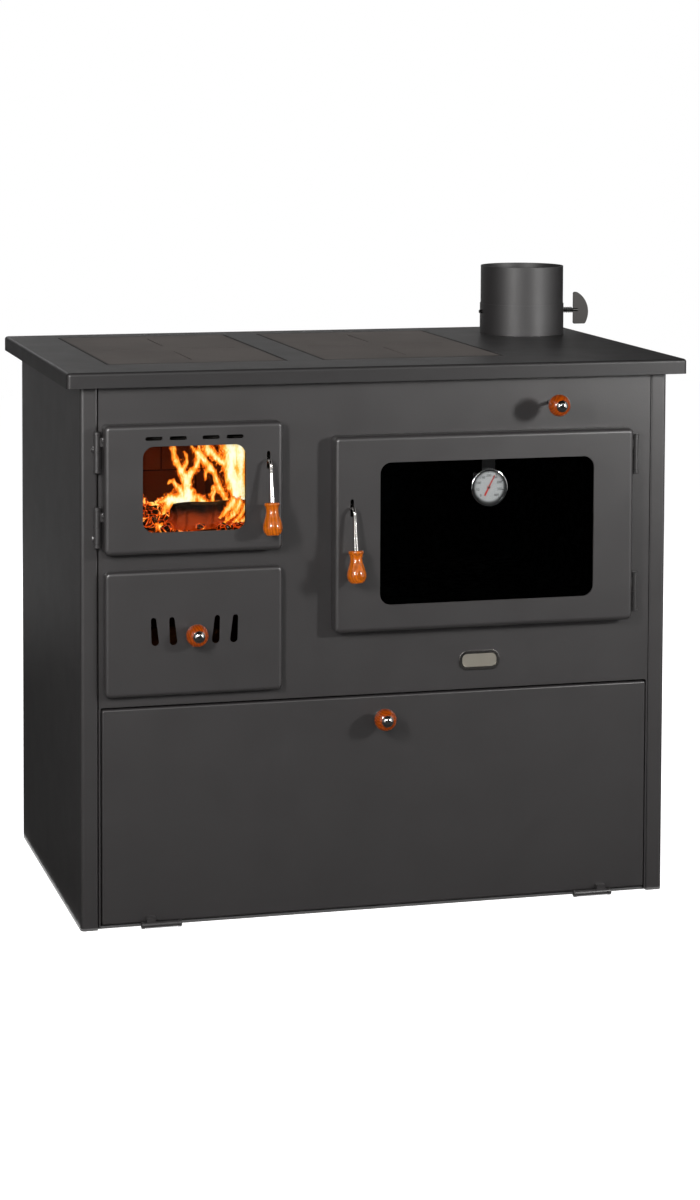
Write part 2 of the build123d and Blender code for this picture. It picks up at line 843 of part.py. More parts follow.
rod_head = knob_bolt(rod_x, rod_seat_y, rod_z, bypass_knob_neck, rod_head_lap)
with BuildPart() as bypass_rod:
    add(rod_head.part)
    with BuildSketch(facing(slide_y[0])):
        with Locations((rod_x, rod_z)):
            Circle(rod_radius)
    extrude(amount=slide_y[0] - rod_seat_y)
finish(bypass_rod, "bypass_rod")

# Flue collar: a rolled tube through the cooktop, sized down a little where a pipe slides on

collar_top = cooking_height + collar_height
collar_foot = body_top - collar_drop
with BuildPart() as flue_collar:
    with BuildSketch(level(collar_foot)):
        with Locations((flue_x, flue_y)):
            Circle(collar_radius)
    extrude(amount=collar_top - spigot_height - collar_foot)
    with BuildSketch(level(body_top - collar_wall)):
        with Locations((flue_x, flue_y)):
            Circle(hearth_inner_x - flue_x)
    extrude(amount=collar_wall)
    with BuildSketch(level(collar_top - spigot_height)):
        with Locations((flue_x, flue_y)):
            Circle(spigot_radius)
    extrude(amount=spigot_height)
    with BuildSketch(level(collar_foot)):
        with Locations((flue_x, flue_y)):
            Circle(spigot_radius - collar_wall)
    extrude(amount=collar_top - collar_foot, mode=Mode.SUBTRACT)
    with BuildSketch(Plane.YZ.offset(flue_x - 2 * collar_radius)):
        with Locations((flue_y, damper_z)):
            Circle(damper_shaft_radius + running_gap)
    extrude(amount=4 * collar_radius, mode=Mode.SUBTRACT)
finish(flue_collar, "flue_collar")

# Butterfly damper: shaft, plate with its sleeve, flat handle and friction spring

shaft_x = (flue_x - collar_radius - damper_pin_end, damper_handle_x + damper_handle_slot)
with BuildPart() as damper_shaft:
    with BuildSketch(Plane.YZ.offset(shaft_x[0])):
        with Locations((flue_y, damper_z)):
            Circle(damper_shaft_radius)
    extrude(amount=shaft_x[1] - shaft_x[0])
    chamfer(damper_shaft.faces().filter_by(Axis.X).edges(), damper_shaft_edge)
finish(damper_shaft, "damper_shaft")

with BuildPart() as damper_plate:
    with BuildSketch(facing(flue_y + damper_plate_sheet / 2)):
        with Locations((flue_x, damper_z)):
            Circle(damper_plate_radius)
    extrude(amount=damper_plate_sheet)
    with BuildSketch(Plane.YZ.offset(flue_x - damper_sleeve_length / 2)):
        with Locations((flue_y, damper_z)):
            Circle(damper_sleeve_radius)
    extrude(amount=damper_sleeve_length)
    relief_y = span(flue_y, 2 * damper_shaft_radius)
    relief_z = span(damper_z, 2 * damper_shaft_radius + damper_relief_play)
    for way in (-1, 1):
        relief_middle = flue_x + way * (damper_sleeve_length / 2 + collar_radius) / 2
        relief_x = span(relief_middle, collar_radius - damper_sleeve_length / 2)
        box_between(relief_x, relief_y, relief_z, mode=Mode.SUBTRACT)
    with BuildSketch(Plane.YZ.offset(flue_x - collar_radius)):
        with Locations((flue_y, damper_z)):
            Circle(damper_shaft_radius)
    extrude(amount=2 * collar_radius, mode=Mode.SUBTRACT)
finish(damper_plate, "damper_plate")

with BuildPart() as damper_handle:
    low = damper_z - damper_handle_below
    high = low + damper_handle_height
    left = damper_handle_x
    right = damper_handle_x + damper_handle_width
    with BuildSketch(facing(flue_y + damper_handle_sheet / 2)):
        with BuildLine():
            Polyline(
                (left + damper_handle_tip, high),
                (left, high),
                (left, low),
                (left + damper_handle_foot, low),
            )
            ThreePointArc(
                (left + damper_handle_foot, low),
                (right, low + damper_handle_fullest),
                (left + damper_handle_tip, high),
            )
        make_face()
    extrude(amount=damper_handle_sheet)
    fillet(damper_handle.edges().filter_by(Axis.Y), damper_handle_sheet)
    with BuildSketch(Plane.YZ.offset(left)):
        with Locations((flue_y, damper_z)):
            Circle(damper_shaft_radius)
    extrude(amount=damper_handle_slot, mode=Mode.SUBTRACT)
finish(damper_handle, "damper_handle")


def coil_point(turn, start_x, pitch):
    """Point and unit tangent of the spring's centre line after so many turns."""
    angle = 2 * pi * turn
    point = Vector(
        start_x + pitch * turn,
        flue_y + spring_coil_radius * cos(angle),
        damper_z + spring_coil_radius * sin(angle),
    )
    across = 2 * pi * spring_coil_radius
    tangent = Vector(pitch, -across * sin(angle), across * cos(angle))
    return point, tangent.normalized()


def biarc(start, start_way, end, end_way):
    """Two arcs that leave start and reach end along the given ways."""
    chord = end - start
    ways = start_way + end_way
    spread = 2 * (1 - start_way.dot(end_way))
    along = chord.dot(ways)
    reach = (sqrt(along * along + spread * chord.dot(chord)) - along) / spread
    first = start + start_way * reach
    second = end - end_way * reach
    middle = (first + second) / 2
    TangentArc(start, middle, tangent=start_way)
    TangentArc(middle, end, tangent=second - first)


spring_start = flue_x + collar_radius + spring_end_gap + spring_wire / 2
spring_end = damper_handle_x - spring_end_gap - spring_wire / 2
spring_pitch = (spring_end - spring_start) / spring_turns
steps = 4 * spring_turns
with BuildPart() as damper_spring:
    with BuildLine() as coil:
        for step in range(steps):
            here, way_here = coil_point(step / 4, spring_start, spring_pitch)
            there, way_there = coil_point((step + 1) / 4, spring_start, spring_pitch)
            if step == 0:
                Line(here - way_here * spring_wire, here)
            biarc(here, way_here, there, way_there)
        Line(there, there + way_there * spring_wire)
    first_point, first_way = coil_point(0, spring_start, spring_pitch)
    with BuildSketch(Plane(origin=first_point - first_way * spring_wire, z_dir=first_way)):
        Circle(spring_wire / 2)
    sweep(path=coil.wires()[0])
finish(damper_spring, "damper_spring")

samples = [coil_point(i / 24, spring_start, spring_pitch)[0] for i in range(24 * spring_turns + 1)]
least_gap = min(
    (samples[i] - samples[j]).length - spring_wire
    for i in range(len(samples))
    for j in range(i + 12, len(samples))
)
print(f"damper spring: pitch {spring_pitch:.2f}, least gap to itself {least_gap:.2f} mm")


# Hinges: a barrel in two halves, the lower (or inner) one with the pin

def hinge_half(origin, across, along, radius, ring_radius, has_pin, lug):
    """One half of a barrel hinge, running from the seam at origin the way of along."""
    side = Plane(origin, x_dir=across, z_dir=Vector(*across).cross(Vector(*along)))
    seam = Plane(origin, z_dir=along)
    start = seam_gap / 2
    end = start + barrel_half
    ring = end - barrel_ring_length
    groove = ring - barrel_ring_groove
    with BuildPart() as half:
        with BuildSketch(side):
            with BuildLine():
                Polyline(
                    (0, start),
                    (radius, start),
                    (radius, groove),
                    (radius - barrel_groove_depth, groove),
                    (radius - barrel_groove_depth, ring),
                    (ring_radius, ring),
                    (ring_radius, end - barrel_chamfer),
                    (ring_radius - barrel_chamfer, end),
                    (0, end),
                    (0, start),
                )
            make_face()
        revolve(axis=Axis(origin, along))
        box_between(*lug)
        if has_pin:
            with BuildSketch(seam.offset(start)):
                Circle(hinge_pin_radius)
            extrude(amount=-hinge_pin_length)
        else:
            with BuildSketch(seam.offset(start)):
                Circle(hinge_pin_radius + running_gap)
            extrude(amount=hinge_pin_length, mode=Mode.SUBTRACT)
    return half


def door_hinge_halves(hinge_x, middle_z, spacing, to_door, on_door):
    """Both hinges' halves that belong to the door, or both that belong to the post."""
    halves = []
    for seam_z in (middle_z - spacing / 2, middle_z + spacing / 2):
        if on_door:
            lug_x = (hinge_x, hinge_x + to_door * hinge_offset)
            lug_y = (hinge_y - hinge_lug_half, hinge_y + hinge_lug_half)
            lug_z = span(seam_z + barrel_half / 2, hinge_lug_length)
        else:
            lug_x = (hinge_x - hinge_lug_half, hinge_x + hinge_lug_half)
            lug_y = (hinge_y, front_y)
            lug_z = span(seam_z - barrel_half / 2, hinge_lug_length)
        lug = ((min(lug_x), max(lug_x)), lug_y, lug_z)
        along = (0, 0, 1) if on_door else (0, 0, -1)
        origin = (hinge_x, hinge_y, seam_z)
        halves.append(
            hinge_half(origin, (1, 0, 0), along, barrel_radius, barrel_ring_radius, not on_door, lug)
        )
    return halves


for name, hinge_x, middle_z, spacing, to_door in (
    ("fire", fire_hinge_x, fire_door_z, fire_door_height - 2 * fire_hinge_inset, 1),
    ("oven", oven_hinge_x, oven_door_z, oven_door_height - 2 * oven_hinge_inset, -1),
):
    for piece, on_door in (("hinge_posts", False), ("hinge_barrels", True)):
        halves = door_hinge_halves(hinge_x, middle_z, spacing, to_door, on_door)
        with BuildPart() as hinge_pair:
            for half in halves:
                add(half.part)
        finish(hinge_pair, f"{name}_{piece}")


def flap_hinge_halves(on_flap):
    """The flap's own halves lie outwards, the base's halves with the pins inwards."""
    halves = []
    for side in (-1, 1):
        seam_x = side * flap_hinge_x
        way = side if on_flap else -side
        lug_x = span(seam_x + way * barrel_half / 2, hinge_lug_length)
        if on_flap:
            lug_y = (flap_hinge_y, flap_front_y)
            lug_z = (flap_hinge_height, flap_lug_top)
        else:
            lug_y = (flap_hinge_y, base_front_y)
            lug_z = (flap_hinge_height - flap_hinge_radius, base_hem_height)
        origin = (seam_x, flap_hinge_y, flap_hinge_height)
        lug = (lug_x, lug_y, lug_z)
        radii = (flap_hinge_radius, flap_hinge_ring_radius)
        halves.append(hinge_half(origin, (0, 0, 1), (way, 0, 0), *radii, not on_flap, lug))
    return halves


for name, on_flap in (("flap_hinge_pins", False), ("flap_hinge_barrels", True)):
    halves = flap_hinge_halves(on_flap)
    with BuildPart() as hinge_pair:
        for half in halves:
            add(half.part)
    finish(hinge_pair, name)


# Doors: pressed pan, glass, liner with the window collar, and rope gasket

def pressed_pan(x, z, width, height, pan_front_y, depth, sheet, edge_radius, corner_radius):
    """Deep-drawn pan, open at the back, with rounded corners and front edges."""
    with BuildPart() as pan:
        with BuildSketch(facing(pan_front_y + depth)):
            with Locations((x, z)):
                RectangleRounded(width, height, corner_radius)
        extrude(amount=depth)
        fillet(pan.faces().sort_by(Axis.Y)[0].edges(), edge_radius)
        offset(amount=-sheet, openings=pan.faces().sort_by(Axis.Y)[-1])
    return pan


def glass_pane(x, z, width, height):
    with BuildPart() as pane:
        with BuildSketch(facing(glass_back_y)):
            with Locations((x, z)):
                RectangleRounded(width + 2 * glass_margin, height + 2 * glass_margin, door_corner_radius)
        extrude(amount=glass_thickness)
    return pane


def door_liner(x, z, width, height, window_x, window_z, window_width, window_height, latch_x, latch_z):
    """Back plate of the door; a collar round the window holds the glass, two cheeks the latch."""
    plate_back = liner_back_y
    plate_front = liner_back_y - liner_sheet
    clear = door_sheet + liner_gap
    with BuildPart() as liner:
        with BuildSketch(facing(plate_back)):
            with Locations((x, z)):
                RectangleRounded(width - 2 * clear, height - 2 * clear, door_corner_radius - door_sheet)
        extrude(amount=liner_sheet)
        with BuildSketch(facing(plate_front)):
            with Locations((window_x, window_z)):
                collar_width = window_width + glass_margin
                collar_height_z = window_height + glass_margin
                RectangleRounded(collar_width, collar_height_z, window_corner)
        extrude(amount=plate_front - glass_back_y)
        with BuildSketch(facing(plate_back)):
            with Locations((window_x, window_z)):
                RectangleRounded(
                    collar_width - 2 * window_collar_sheet,
                    collar_height_z - 2 * window_collar_sheet,
                    window_corner - window_collar_sheet,
                )
        extrude(amount=plate_back - glass_back_y, mode=Mode.SUBTRACT)
        with BuildSketch(facing(plate_back)):
            with Locations((latch_x, latch_z)):
                Rectangle(latch_plate + 2 * latch_cheek_gap, 2 * (latch_hub_radius + liner_slot_play))
        extrude(amount=liner_sheet, mode=Mode.SUBTRACT)
        cheek_z = span(latch_z, 2 * latch_hub_radius)
        for way in (-1, 1):
            cheek_at = latch_x + way * (latch_plate / 2 + latch_cheek_gap + keeper_cheek / 2)
            cheek_y = (latch_pivot_y - latch_hub_radius, plate_front)
            box_between(span(cheek_at, keeper_cheek), cheek_y, cheek_z)
        with BuildSketch(Plane.YZ.offset(latch_x - latch_plate / 2 - latch_cheek_gap)):
            with Locations((latch_pivot_y, latch_z)):
                Circle(latch_pivot_radius)
        extrude(amount=latch_plate + 2 * latch_cheek_gap)
    return liner


def rope_gasket(x, z, mouth_width, mouth_height):
    """Square-woven rope set in the liner round the mouth, drawn just short of the panel."""
    inner_width = mouth_width + 2 * gasket_inset
    inner_height = mouth_height + 2 * gasket_inset
    with BuildPart() as gasket:
        with BuildSketch(facing(front_y - gasket_gap)):
            with Locations((x, z)):
                RectangleRounded(
                    inner_width + 2 * gasket_width,
                    inner_height + 2 * gasket_width,
                    window_corner + gasket_width,
                )
                RectangleRounded(inner_width, inner_height, window_corner, mode=Mode.SUBTRACT)
        extrude(amount=front_y - gasket_gap - liner_back_y)
        fillet(gasket.faces().sort_by(Axis.Y)[-1].edges(), gasket_round)
    return gasket


fire_shell = pressed_pan(
    fire_door_x,
    fire_door_z,
    fire_door_width,
    fire_door_height,
    door_front_y,
    door_depth,
    door_sheet,
    door_edge_radius,
    door_corner_radius,
)
with BuildPart() as fire_door_pan:
    add(fire_shell.part)
    with BuildSketch(facing(door_front_y + 2 * door_sheet)):
        with Locations((fire_door_x, fire_door_z)):
            RectangleRounded(fire_window_width, fire_window_height, window_corner)
        with Locations((fire_latch_x, fire_latch_z)):
            SlotOverall(latch_slot_height, latch_slot_width, rotation=90)
        for offset_x in air_slot_offsets:
            with Locations((fire_door_x + offset_x, fire_door_z + air_slot_rise)):
                SlotOverall(air_slot_length, air_slot_height)
    extrude(amount=4 * door_sheet, mode=Mode.SUBTRACT)
finish(fire_door_pan, "fire_door_pan")

fire_door_glass = glass_pane(fire_door_x, fire_door_z, fire_window_width, fire_window_height)
finish(fire_door_glass, "fire_door_glass")
fire_door_liner = door_liner(
    fire_door_x,
    fire_door_z,
    fire_door_width,
    fire_door_height,
    fire_door_x,
    fire_door_z,
    fire_window_width,
    fire_window_height,
    fire_latch_x,
    fire_latch_z,
)
finish(fire_door_liner, "fire_door_liner")
fire_door_gasket = rope_gasket(fire_door_x, fire_door_z, fire_mouth_width, fire_mouth_height)
finish(fire_door_gasket, "fire_door_gasket")

oven_shell = pressed_pan(
    oven_door_x,
    oven_door_z,
    oven_door_width,
    oven_door_height,
    door_front_y,
    door_depth,
    door_sheet,
    door_edge_radius,
    door_corner_radius,
)
with BuildPart() as oven_door_pan:
    add(oven_shell.part)
    with BuildSketch(facing(door_front_y + 2 * door_sheet)):
        with Locations((oven_window_x, oven_door_z)):
            RectangleRounded(oven_window_width, oven_window_height, window_corner)
        with Locations((oven_latch_x, oven_latch_z)):
            SlotOverall(latch_slot_height, latch_slot_width, rotation=90)
    extrude(amount=4 * door_sheet, mode=Mode.SUBTRACT)
finish(oven_door_pan, "oven_door_pan")

oven_door_glass = glass_pane(oven_window_x, oven_door_z, oven_window_width, oven_window_height)
finish(oven_door_glass, "oven_door_glass")
oven_door_liner = door_liner(
    oven_door_x,
    oven_door_z,
    oven_door_width,
    oven_door_height,
    oven_window_x,
    oven_door_z,
    oven_window_width,
    oven_window_height,
    oven_latch_x,
    oven_latch_z,
)
finish(oven_door_liner, "oven_door_liner")
oven_door_gasket = rope_gasket(oven_door_x, oven_door_z, oven_mouth_width, oven_mouth_height)
finish(oven_door_gasket, "oven_door_gasket")


# Latches: a lever through the door with a hook at its back, and a pin to catch it

def latch_knee(x, z):
    """Where the rod turns down, and the way that it then runs."""
    lean = radians(latch_lean)
    return Vector(x, door_front_y - latch_reach, z), Vector(0, -sin(lean), -cos(lean))


def latch_lever(x, z):
    """Hub, hook plate, and the rod that bends down and thickens into the grip's ferrule."""
    start = Vector(x, latch_pivot_y - latch_hub_radius / 2, z)
    knee, down = latch_knee(x, z)
    taper = knee + down * latch_taper_at
    foot = knee + down * latch_drop
    tooth_y = latch_pivot_y + keeper_pin_reach + keeper_pin_radius + keeper_play
    with BuildPart() as lever:
        with BuildSketch(Plane.YZ.offset(x - latch_plate / 2)):
            with Locations((latch_pivot_y, z)):
                Circle(latch_hub_radius)
            with BuildLine():
                Polyline(
                    (latch_pivot_y, z - latch_bar_half),
                    (tooth_y + latch_tooth_length - latch_bar_half, z - latch_bar_half),
                    (tooth_y + latch_tooth_length, z),
                    (tooth_y + latch_tooth_length / 2, z + latch_tooth_height),
                    (tooth_y, z + latch_tooth_height),
                    (tooth_y, z + latch_bar_half),
                    (latch_pivot_y, z + latch_bar_half),
                    (latch_pivot_y, z - latch_bar_half),
                )
            make_face()
        extrude(amount=latch_plate)
        with BuildLine() as run:
            FilletPolyline(start, knee, taper, radius=latch_bend_radius)
        with BuildSketch(Plane(origin=start, z_dir=(0, -1, 0))):
            Circle(latch_rod_radius)
        sweep(path=run.wires()[0])
        with BuildSketch(Plane(origin=taper, z_dir=down)):
            Circle(latch_rod_radius)
        with BuildSketch(Plane(origin=foot, z_dir=down)):
            Circle(latch_ferrule_radius)
        loft()
        with BuildSketch(Plane(origin=foot, z_dir=down)):
            Circle(knob_bolt_radius)
        extrude(amount=grip_length / 2)
        with BuildSketch(Plane.YZ.offset(x - latch_plate)):
            with Locations((latch_pivot_y, z)):
                Circle(latch_pivot_radius + running_gap)
        extrude(amount=2 * latch_plate, mode=Mode.SUBTRACT)
    return lever


def latch_grip(x, z):
    """Turned grip: a collar at the top, a waist, and a full belly near the foot."""
    knee, down = latch_knee(x, z)
    top = knee + down * latch_drop
    edge = grip_collar_radius - grip_edge
    with BuildPart() as grip:
        with BuildSketch(Plane(top, x_dir=(1, 0, 0), z_dir=down.cross(Vector(1, 0, 0)))):
            with BuildLine():
                Line((knob_bolt_radius, 0), (edge, 0))
                ThreePointArc(
                    (edge, 0),
                    (grip_collar_radius, -grip_collar_length / 2),
                    (edge, -grip_collar_length),
                )
                Spline(
                    (edge, -grip_collar_length),
                    (grip_waist_radius, -grip_waist_at),
                    (grip_belly_radius, -grip_belly_at),
                    (grip_foot_radius, -grip_length),
                )
                Polyline(
                    (grip_foot_radius, -grip_length),
                    (0, -grip_length),
                    (0, -grip_length / 2),
                    (knob_bolt_radius, -grip_length / 2),
                    (knob_bolt_radius, 0),
                )
            make_face()
        revolve(axis=Axis(top, down))
    return grip


def latch_keeper(x, z):
    """Bracket on the back of the front panel with a pin across two cheeks."""
    pin_y = latch_pivot_y + keeper_pin_reach
    pin_z = z + keeper_pin_rise
    gap = latch_plate / 2 + keeper_gap
    with BuildPart() as keeper:
        for way in (-1, 1):
            cheek_x = span(x + way * (gap + keeper_cheek / 2), keeper_cheek)
            box_between(
                cheek_x,
                (hearth_front_y, pin_y + 2 * keeper_pin_radius),
                (pin_z - 2 * keeper_pin_radius, pin_z + 2 * keeper_pin_radius),
            )
        with BuildSketch(Plane.YZ.offset(x - gap)):
            with Locations((pin_y, pin_z)):
                Circle(keeper_pin_radius)
        extrude(amount=2 * gap)
        box_between(
            span(x, 2 * (gap + keeper_cheek)),
            (hearth_front_y, hearth_front_y + keeper_cheek),
            (pin_z + 2 * keeper_pin_radius, pin_z + 2 * keeper_pin_radius + keeper_foot_height),
        )
    return keeper


for name, latch_x, latch_z in (
    ("fire", fire_latch_x, fire_latch_z),
    ("oven", oven_latch_x, oven_latch_z),
):
    finish(latch_lever(latch_x, latch_z), f"{name}_latch_lever")
    finish(latch_grip(latch_x, latch_z), f"{name}_latch_grip")
    finish(latch_keeper(latch_x, latch_z), f"{name}_latch_keeper")

# Thermometer: case with bezel and hanger strip, dial with the needle's pin, needle and lens

dial_x = oven_window_x + dial_shift
dial_z = oven_door_z + oven_window_height / 2 - dial_drop
hanger_back_y = door_front_y + door_sheet + hanger_sheet
case_back_y = hanger_back_y - hanger_sheet
case_front_y = case_back_y - dial_case_depth
dial_plane_y = case_back_y - dial_case_wall

with BuildPart() as thermometer_case:
    with BuildSketch(facing(case_back_y)):
        with Locations((dial_x, dial_z)):
            Circle(dial_case_radius)
    extrude(amount=dial_case_depth)
    fillet(thermometer_case.faces().sort_by(Axis.Y)[0].edges(), dial_bezel / 2)
    with BuildSketch(facing(dial_plane_y)):
        with Locations((dial_x, dial_z)):
            Circle(dial_case_radius - dial_case_wall)
    extrude(amount=dial_case_depth - dial_case_wall - dial_lens_setback, mode=Mode.SUBTRACT)
    with BuildSketch(facing(case_front_y + 2 * dial_case_wall)):
        with Locations((dial_x, dial_z)):
            Circle(dial_case_radius - dial_bezel)
    extrude(amount=3 * dial_case_wall, mode=Mode.SUBTRACT)
    hanger_top = oven_door_z + oven_window_height / 2 + hanger_lap
    with BuildSketch(facing(hanger_back_y)):
        with Locations((dial_x, (dial_z + hanger_top) / 2)):
            Rectangle(hanger_width, hanger_top - dial_z)
        with Locations((dial_x, dial_z)):
            Circle(hanger_width / 2)
    extrude(amount=hanger_sheet)
finish(thermometer_case, "thermometer_case")

needle_back_y = dial_plane_y - dial_sheet - needle_lift
with BuildPart() as thermometer_dial:
    with BuildSketch(facing(dial_plane_y)):
        with Locations((dial_x, dial_z)):
            Circle(dial_radius)
    extrude(amount=dial_sheet)
    with BuildSketch(facing(dial_plane_y - dial_sheet)):
        with Locations((dial_x, dial_z)):
            Circle(needle_pin_radius)
    extrude(amount=needle_lift + 2 * needle_sheet)
finish(thermometer_dial, "thermometer_dial")

with BuildPart() as thermometer_needle:
    lean = radians(needle_rest_angle)
    pivot = (dial_x, needle_back_y, dial_z)
    with BuildSketch(Plane(pivot, x_dir=(cos(lean), 0, -sin(lean)), z_dir=(0, -1, 0))):
        with BuildLine():
            Polyline(
                (-needle_tail_half, -needle_tail),
                (-needle_tip_half, needle_length),
                (needle_tip_half, needle_length),
                (needle_tail_half, -needle_tail),
                (-needle_tail_half, -needle_tail),
            )
        make_face()
        Circle(needle_hub_radius)
        Circle(needle_pin_radius + running_gap, mode=Mode.SUBTRACT)
    extrude(amount=needle_sheet)
finish(thermometer_needle, "thermometer_needle")

lens_back_y = case_front_y + dial_lens_setback + dial_lens_sheet
with BuildPart() as thermometer_lens:
    with BuildSketch(facing(lens_back_y)):
        with Locations((dial_x, dial_z)):
            Circle(dial_radius)
    extrude(amount=dial_lens_sheet)
finish(thermometer_lens, "thermometer_lens")

# Ash drawer: pressed front with air slots, liner, tray, and the knob that turns the shutter

slot_z = drawer_knob_z + drawer_slot_rise

ash_drawer_front_shell = pressed_pan(
    drawer_x,
    drawer_z,
    drawer_width,
    drawer_height,
    drawer_front_y,
    drawer_depth,
    drawer_sheet,
    drawer_edge_radius,
    door_corner_radius,
)
with BuildPart() as ash_drawer_front:
    add(ash_drawer_front_shell.part)
    with BuildSketch(facing(drawer_front_y + 2 * drawer_sheet)):
        with Locations((drawer_x, drawer_knob_z)):
            Circle(knob_bolt_radius + running_gap)
    extrude(amount=4 * drawer_sheet, mode=Mode.SUBTRACT)
    top_radius = drawer_slot_top / 2
    low_radius = drawer_slot_bottom / 2
    for offset_x in drawer_slot_offsets:
        lean = radians(drawer_slot_lean if offset_x > 0 else -drawer_slot_lean)
        slot_origin = (drawer_x + offset_x, drawer_front_y + 2 * drawer_sheet, slot_z)
        with BuildSketch(Plane(slot_origin, x_dir=(cos(lean), 0, -sin(lean)), z_dir=(0, -1, 0))):
            with Locations((0, drawer_slot_height / 2 - top_radius)):
                Circle(top_radius)
            with Locations((0, low_radius - drawer_slot_height / 2)):
                Circle(low_radius)
            make_hull()
        extrude(amount=4 * drawer_sheet, mode=Mode.SUBTRACT)
finish(ash_drawer_front, "ash_drawer_front")

liner_clear = drawer_sheet + liner_gap
with BuildPart() as ash_drawer_liner:
    with BuildSketch(facing(drawer_back_y)):
        with Locations((drawer_x, drawer_z)):
            RectangleRounded(
                drawer_width - 2 * liner_clear,
                drawer_height - 2 * liner_clear,
                door_corner_radius - drawer_sheet,
            )
            RectangleRounded(2 * shutter_radius, air_mouth_height, plate_corner, mode=Mode.SUBTRACT)
    extrude(amount=liner_sheet)
finish(ash_drawer_liner, "ash_drawer_liner")

with BuildPart() as ash_tray:
    box_between(span(drawer_x, tray_width), tray_y, (tray_bottom, tray_bottom + tray_height))
    offset(amount=-tray_sheet, openings=ash_tray.faces().sort_by(Axis.Z)[-1])
finish(ash_tray, "ash_tray")

drawer_knob = knob_ball(drawer_x, drawer_front_y, drawer_knob_z, drawer_knob_neck)
finish(drawer_knob, "drawer_knob")
shutter_y = drawer_front_y + drawer_sheet + shutter_gap
bolt_tail = drawer_sheet + shutter_gap + 2 * shutter_sheet
drawer_knob_bolt = knob_bolt(drawer_x, drawer_front_y, drawer_knob_z, drawer_knob_neck, bolt_tail)
finish(drawer_knob_bolt, "drawer_knob_bolt")

with BuildPart() as air_shutter:
    shutter_origin = (drawer_x, shutter_y + shutter_sheet, drawer_knob_z)
    with BuildSketch(Plane(shutter_origin, x_dir=(1, 0, 0), z_dir=(0, -1, 0))):
        for middle, half_angle in ((90, shutter_high_half_angle), (270, shutter_low_half_angle)):
            rim = [
                (shutter_radius * cos(radians(angle)), shutter_radius * sin(radians(angle)))
                for angle in (middle - half_angle, middle, middle + half_angle)
            ]
            with BuildLine():
                Line((0, 0), rim[0])
                ThreePointArc(*rim)
                Line(rim[2], (0, 0))
            make_face()
        Circle(shutter_hub_radius)
        Circle(knob_bolt_radius, mode=Mode.SUBTRACT)
    extrude(amount=shutter_sheet)
finish(air_shutter, "air_shutter")

# Log store flap with its knob

flap_z = (flap_floor_gap, store_height - flap_top_gap)
store_flap_shell = pressed_pan(
    0,
    sum(flap_z) / 2,
    2 * flap_half,
    flap_z[1] - flap_z[0],
    flap_front_y,
    flap_depth,
    flap_sheet,
    flap_edge_radius,
    flap_edge_radius,
)
with BuildPart() as store_flap:
    add(store_flap_shell.part)
    with BuildSketch(facing(flap_front_y + 2 * flap_sheet)):
        with Locations((0, flap_knob_z)):
            Circle(knob_bolt_radius)
    extrude(amount=4 * flap_sheet, mode=Mode.SUBTRACT)
finish(store_flap, "store_flap")

flap_knob = knob_ball(0, flap_front_y, flap_knob_z, flap_knob_neck)
finish(flap_knob, "flap_knob")
flap_knob_bolt = knob_bolt(0, flap_front_y, flap_knob_z, flap_knob_neck, 3 * flap_sheet)
finish(flap_knob_bolt, "flap_knob_bolt")
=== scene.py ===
import bmesh
import bpy
import json
import random
from math import cos, exp, pi, radians, sin, tan
from mathutils import Matrix, Vector, noise


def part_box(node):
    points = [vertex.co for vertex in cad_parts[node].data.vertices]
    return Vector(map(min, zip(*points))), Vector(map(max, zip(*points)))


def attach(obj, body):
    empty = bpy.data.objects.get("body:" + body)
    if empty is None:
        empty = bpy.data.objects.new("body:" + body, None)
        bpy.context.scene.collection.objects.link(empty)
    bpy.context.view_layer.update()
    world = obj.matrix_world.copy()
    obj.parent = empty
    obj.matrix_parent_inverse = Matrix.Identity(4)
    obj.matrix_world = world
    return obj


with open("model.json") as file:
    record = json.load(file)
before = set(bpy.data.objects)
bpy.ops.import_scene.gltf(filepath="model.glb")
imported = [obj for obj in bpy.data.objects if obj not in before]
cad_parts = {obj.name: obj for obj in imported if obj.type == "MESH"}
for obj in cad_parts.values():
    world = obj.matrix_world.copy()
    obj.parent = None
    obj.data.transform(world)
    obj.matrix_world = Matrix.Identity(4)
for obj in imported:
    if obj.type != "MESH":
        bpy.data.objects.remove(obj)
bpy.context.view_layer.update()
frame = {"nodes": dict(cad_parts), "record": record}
nodes = frame["nodes"]
chance = random.Random(7)

# Shader maths: a reading wraps one socket, so that an expression on readings adds its Math nodes


class Reading:
    def __init__(self, owner, socket):
        self.owner = owner
        self.socket = socket

    def maths(self, operation, first, second=0.0):
        return self.owner.add("ShaderNodeMath", {"operation": operation}, {0: first, 1: second})

    def __add__(self, other):
        return self.maths("ADD", self, other)

    def __radd__(self, other):
        return self.maths("ADD", other, self)

    def __sub__(self, other):
        return self.maths("SUBTRACT", self, other)

    def __rsub__(self, other):
        return self.maths("SUBTRACT", other, self)

    def __mul__(self, other):
        return self.maths("MULTIPLY", self, other)

    def __rmul__(self, other):
        return self.maths("MULTIPLY", other, self)

    def __truediv__(self, other):
        return self.maths("DIVIDE", self, other)

    def atLeast(self, other):
        return self.maths("MAXIMUM", self, other)

    def size(self):
        return self.maths("ABSOLUTE", self)


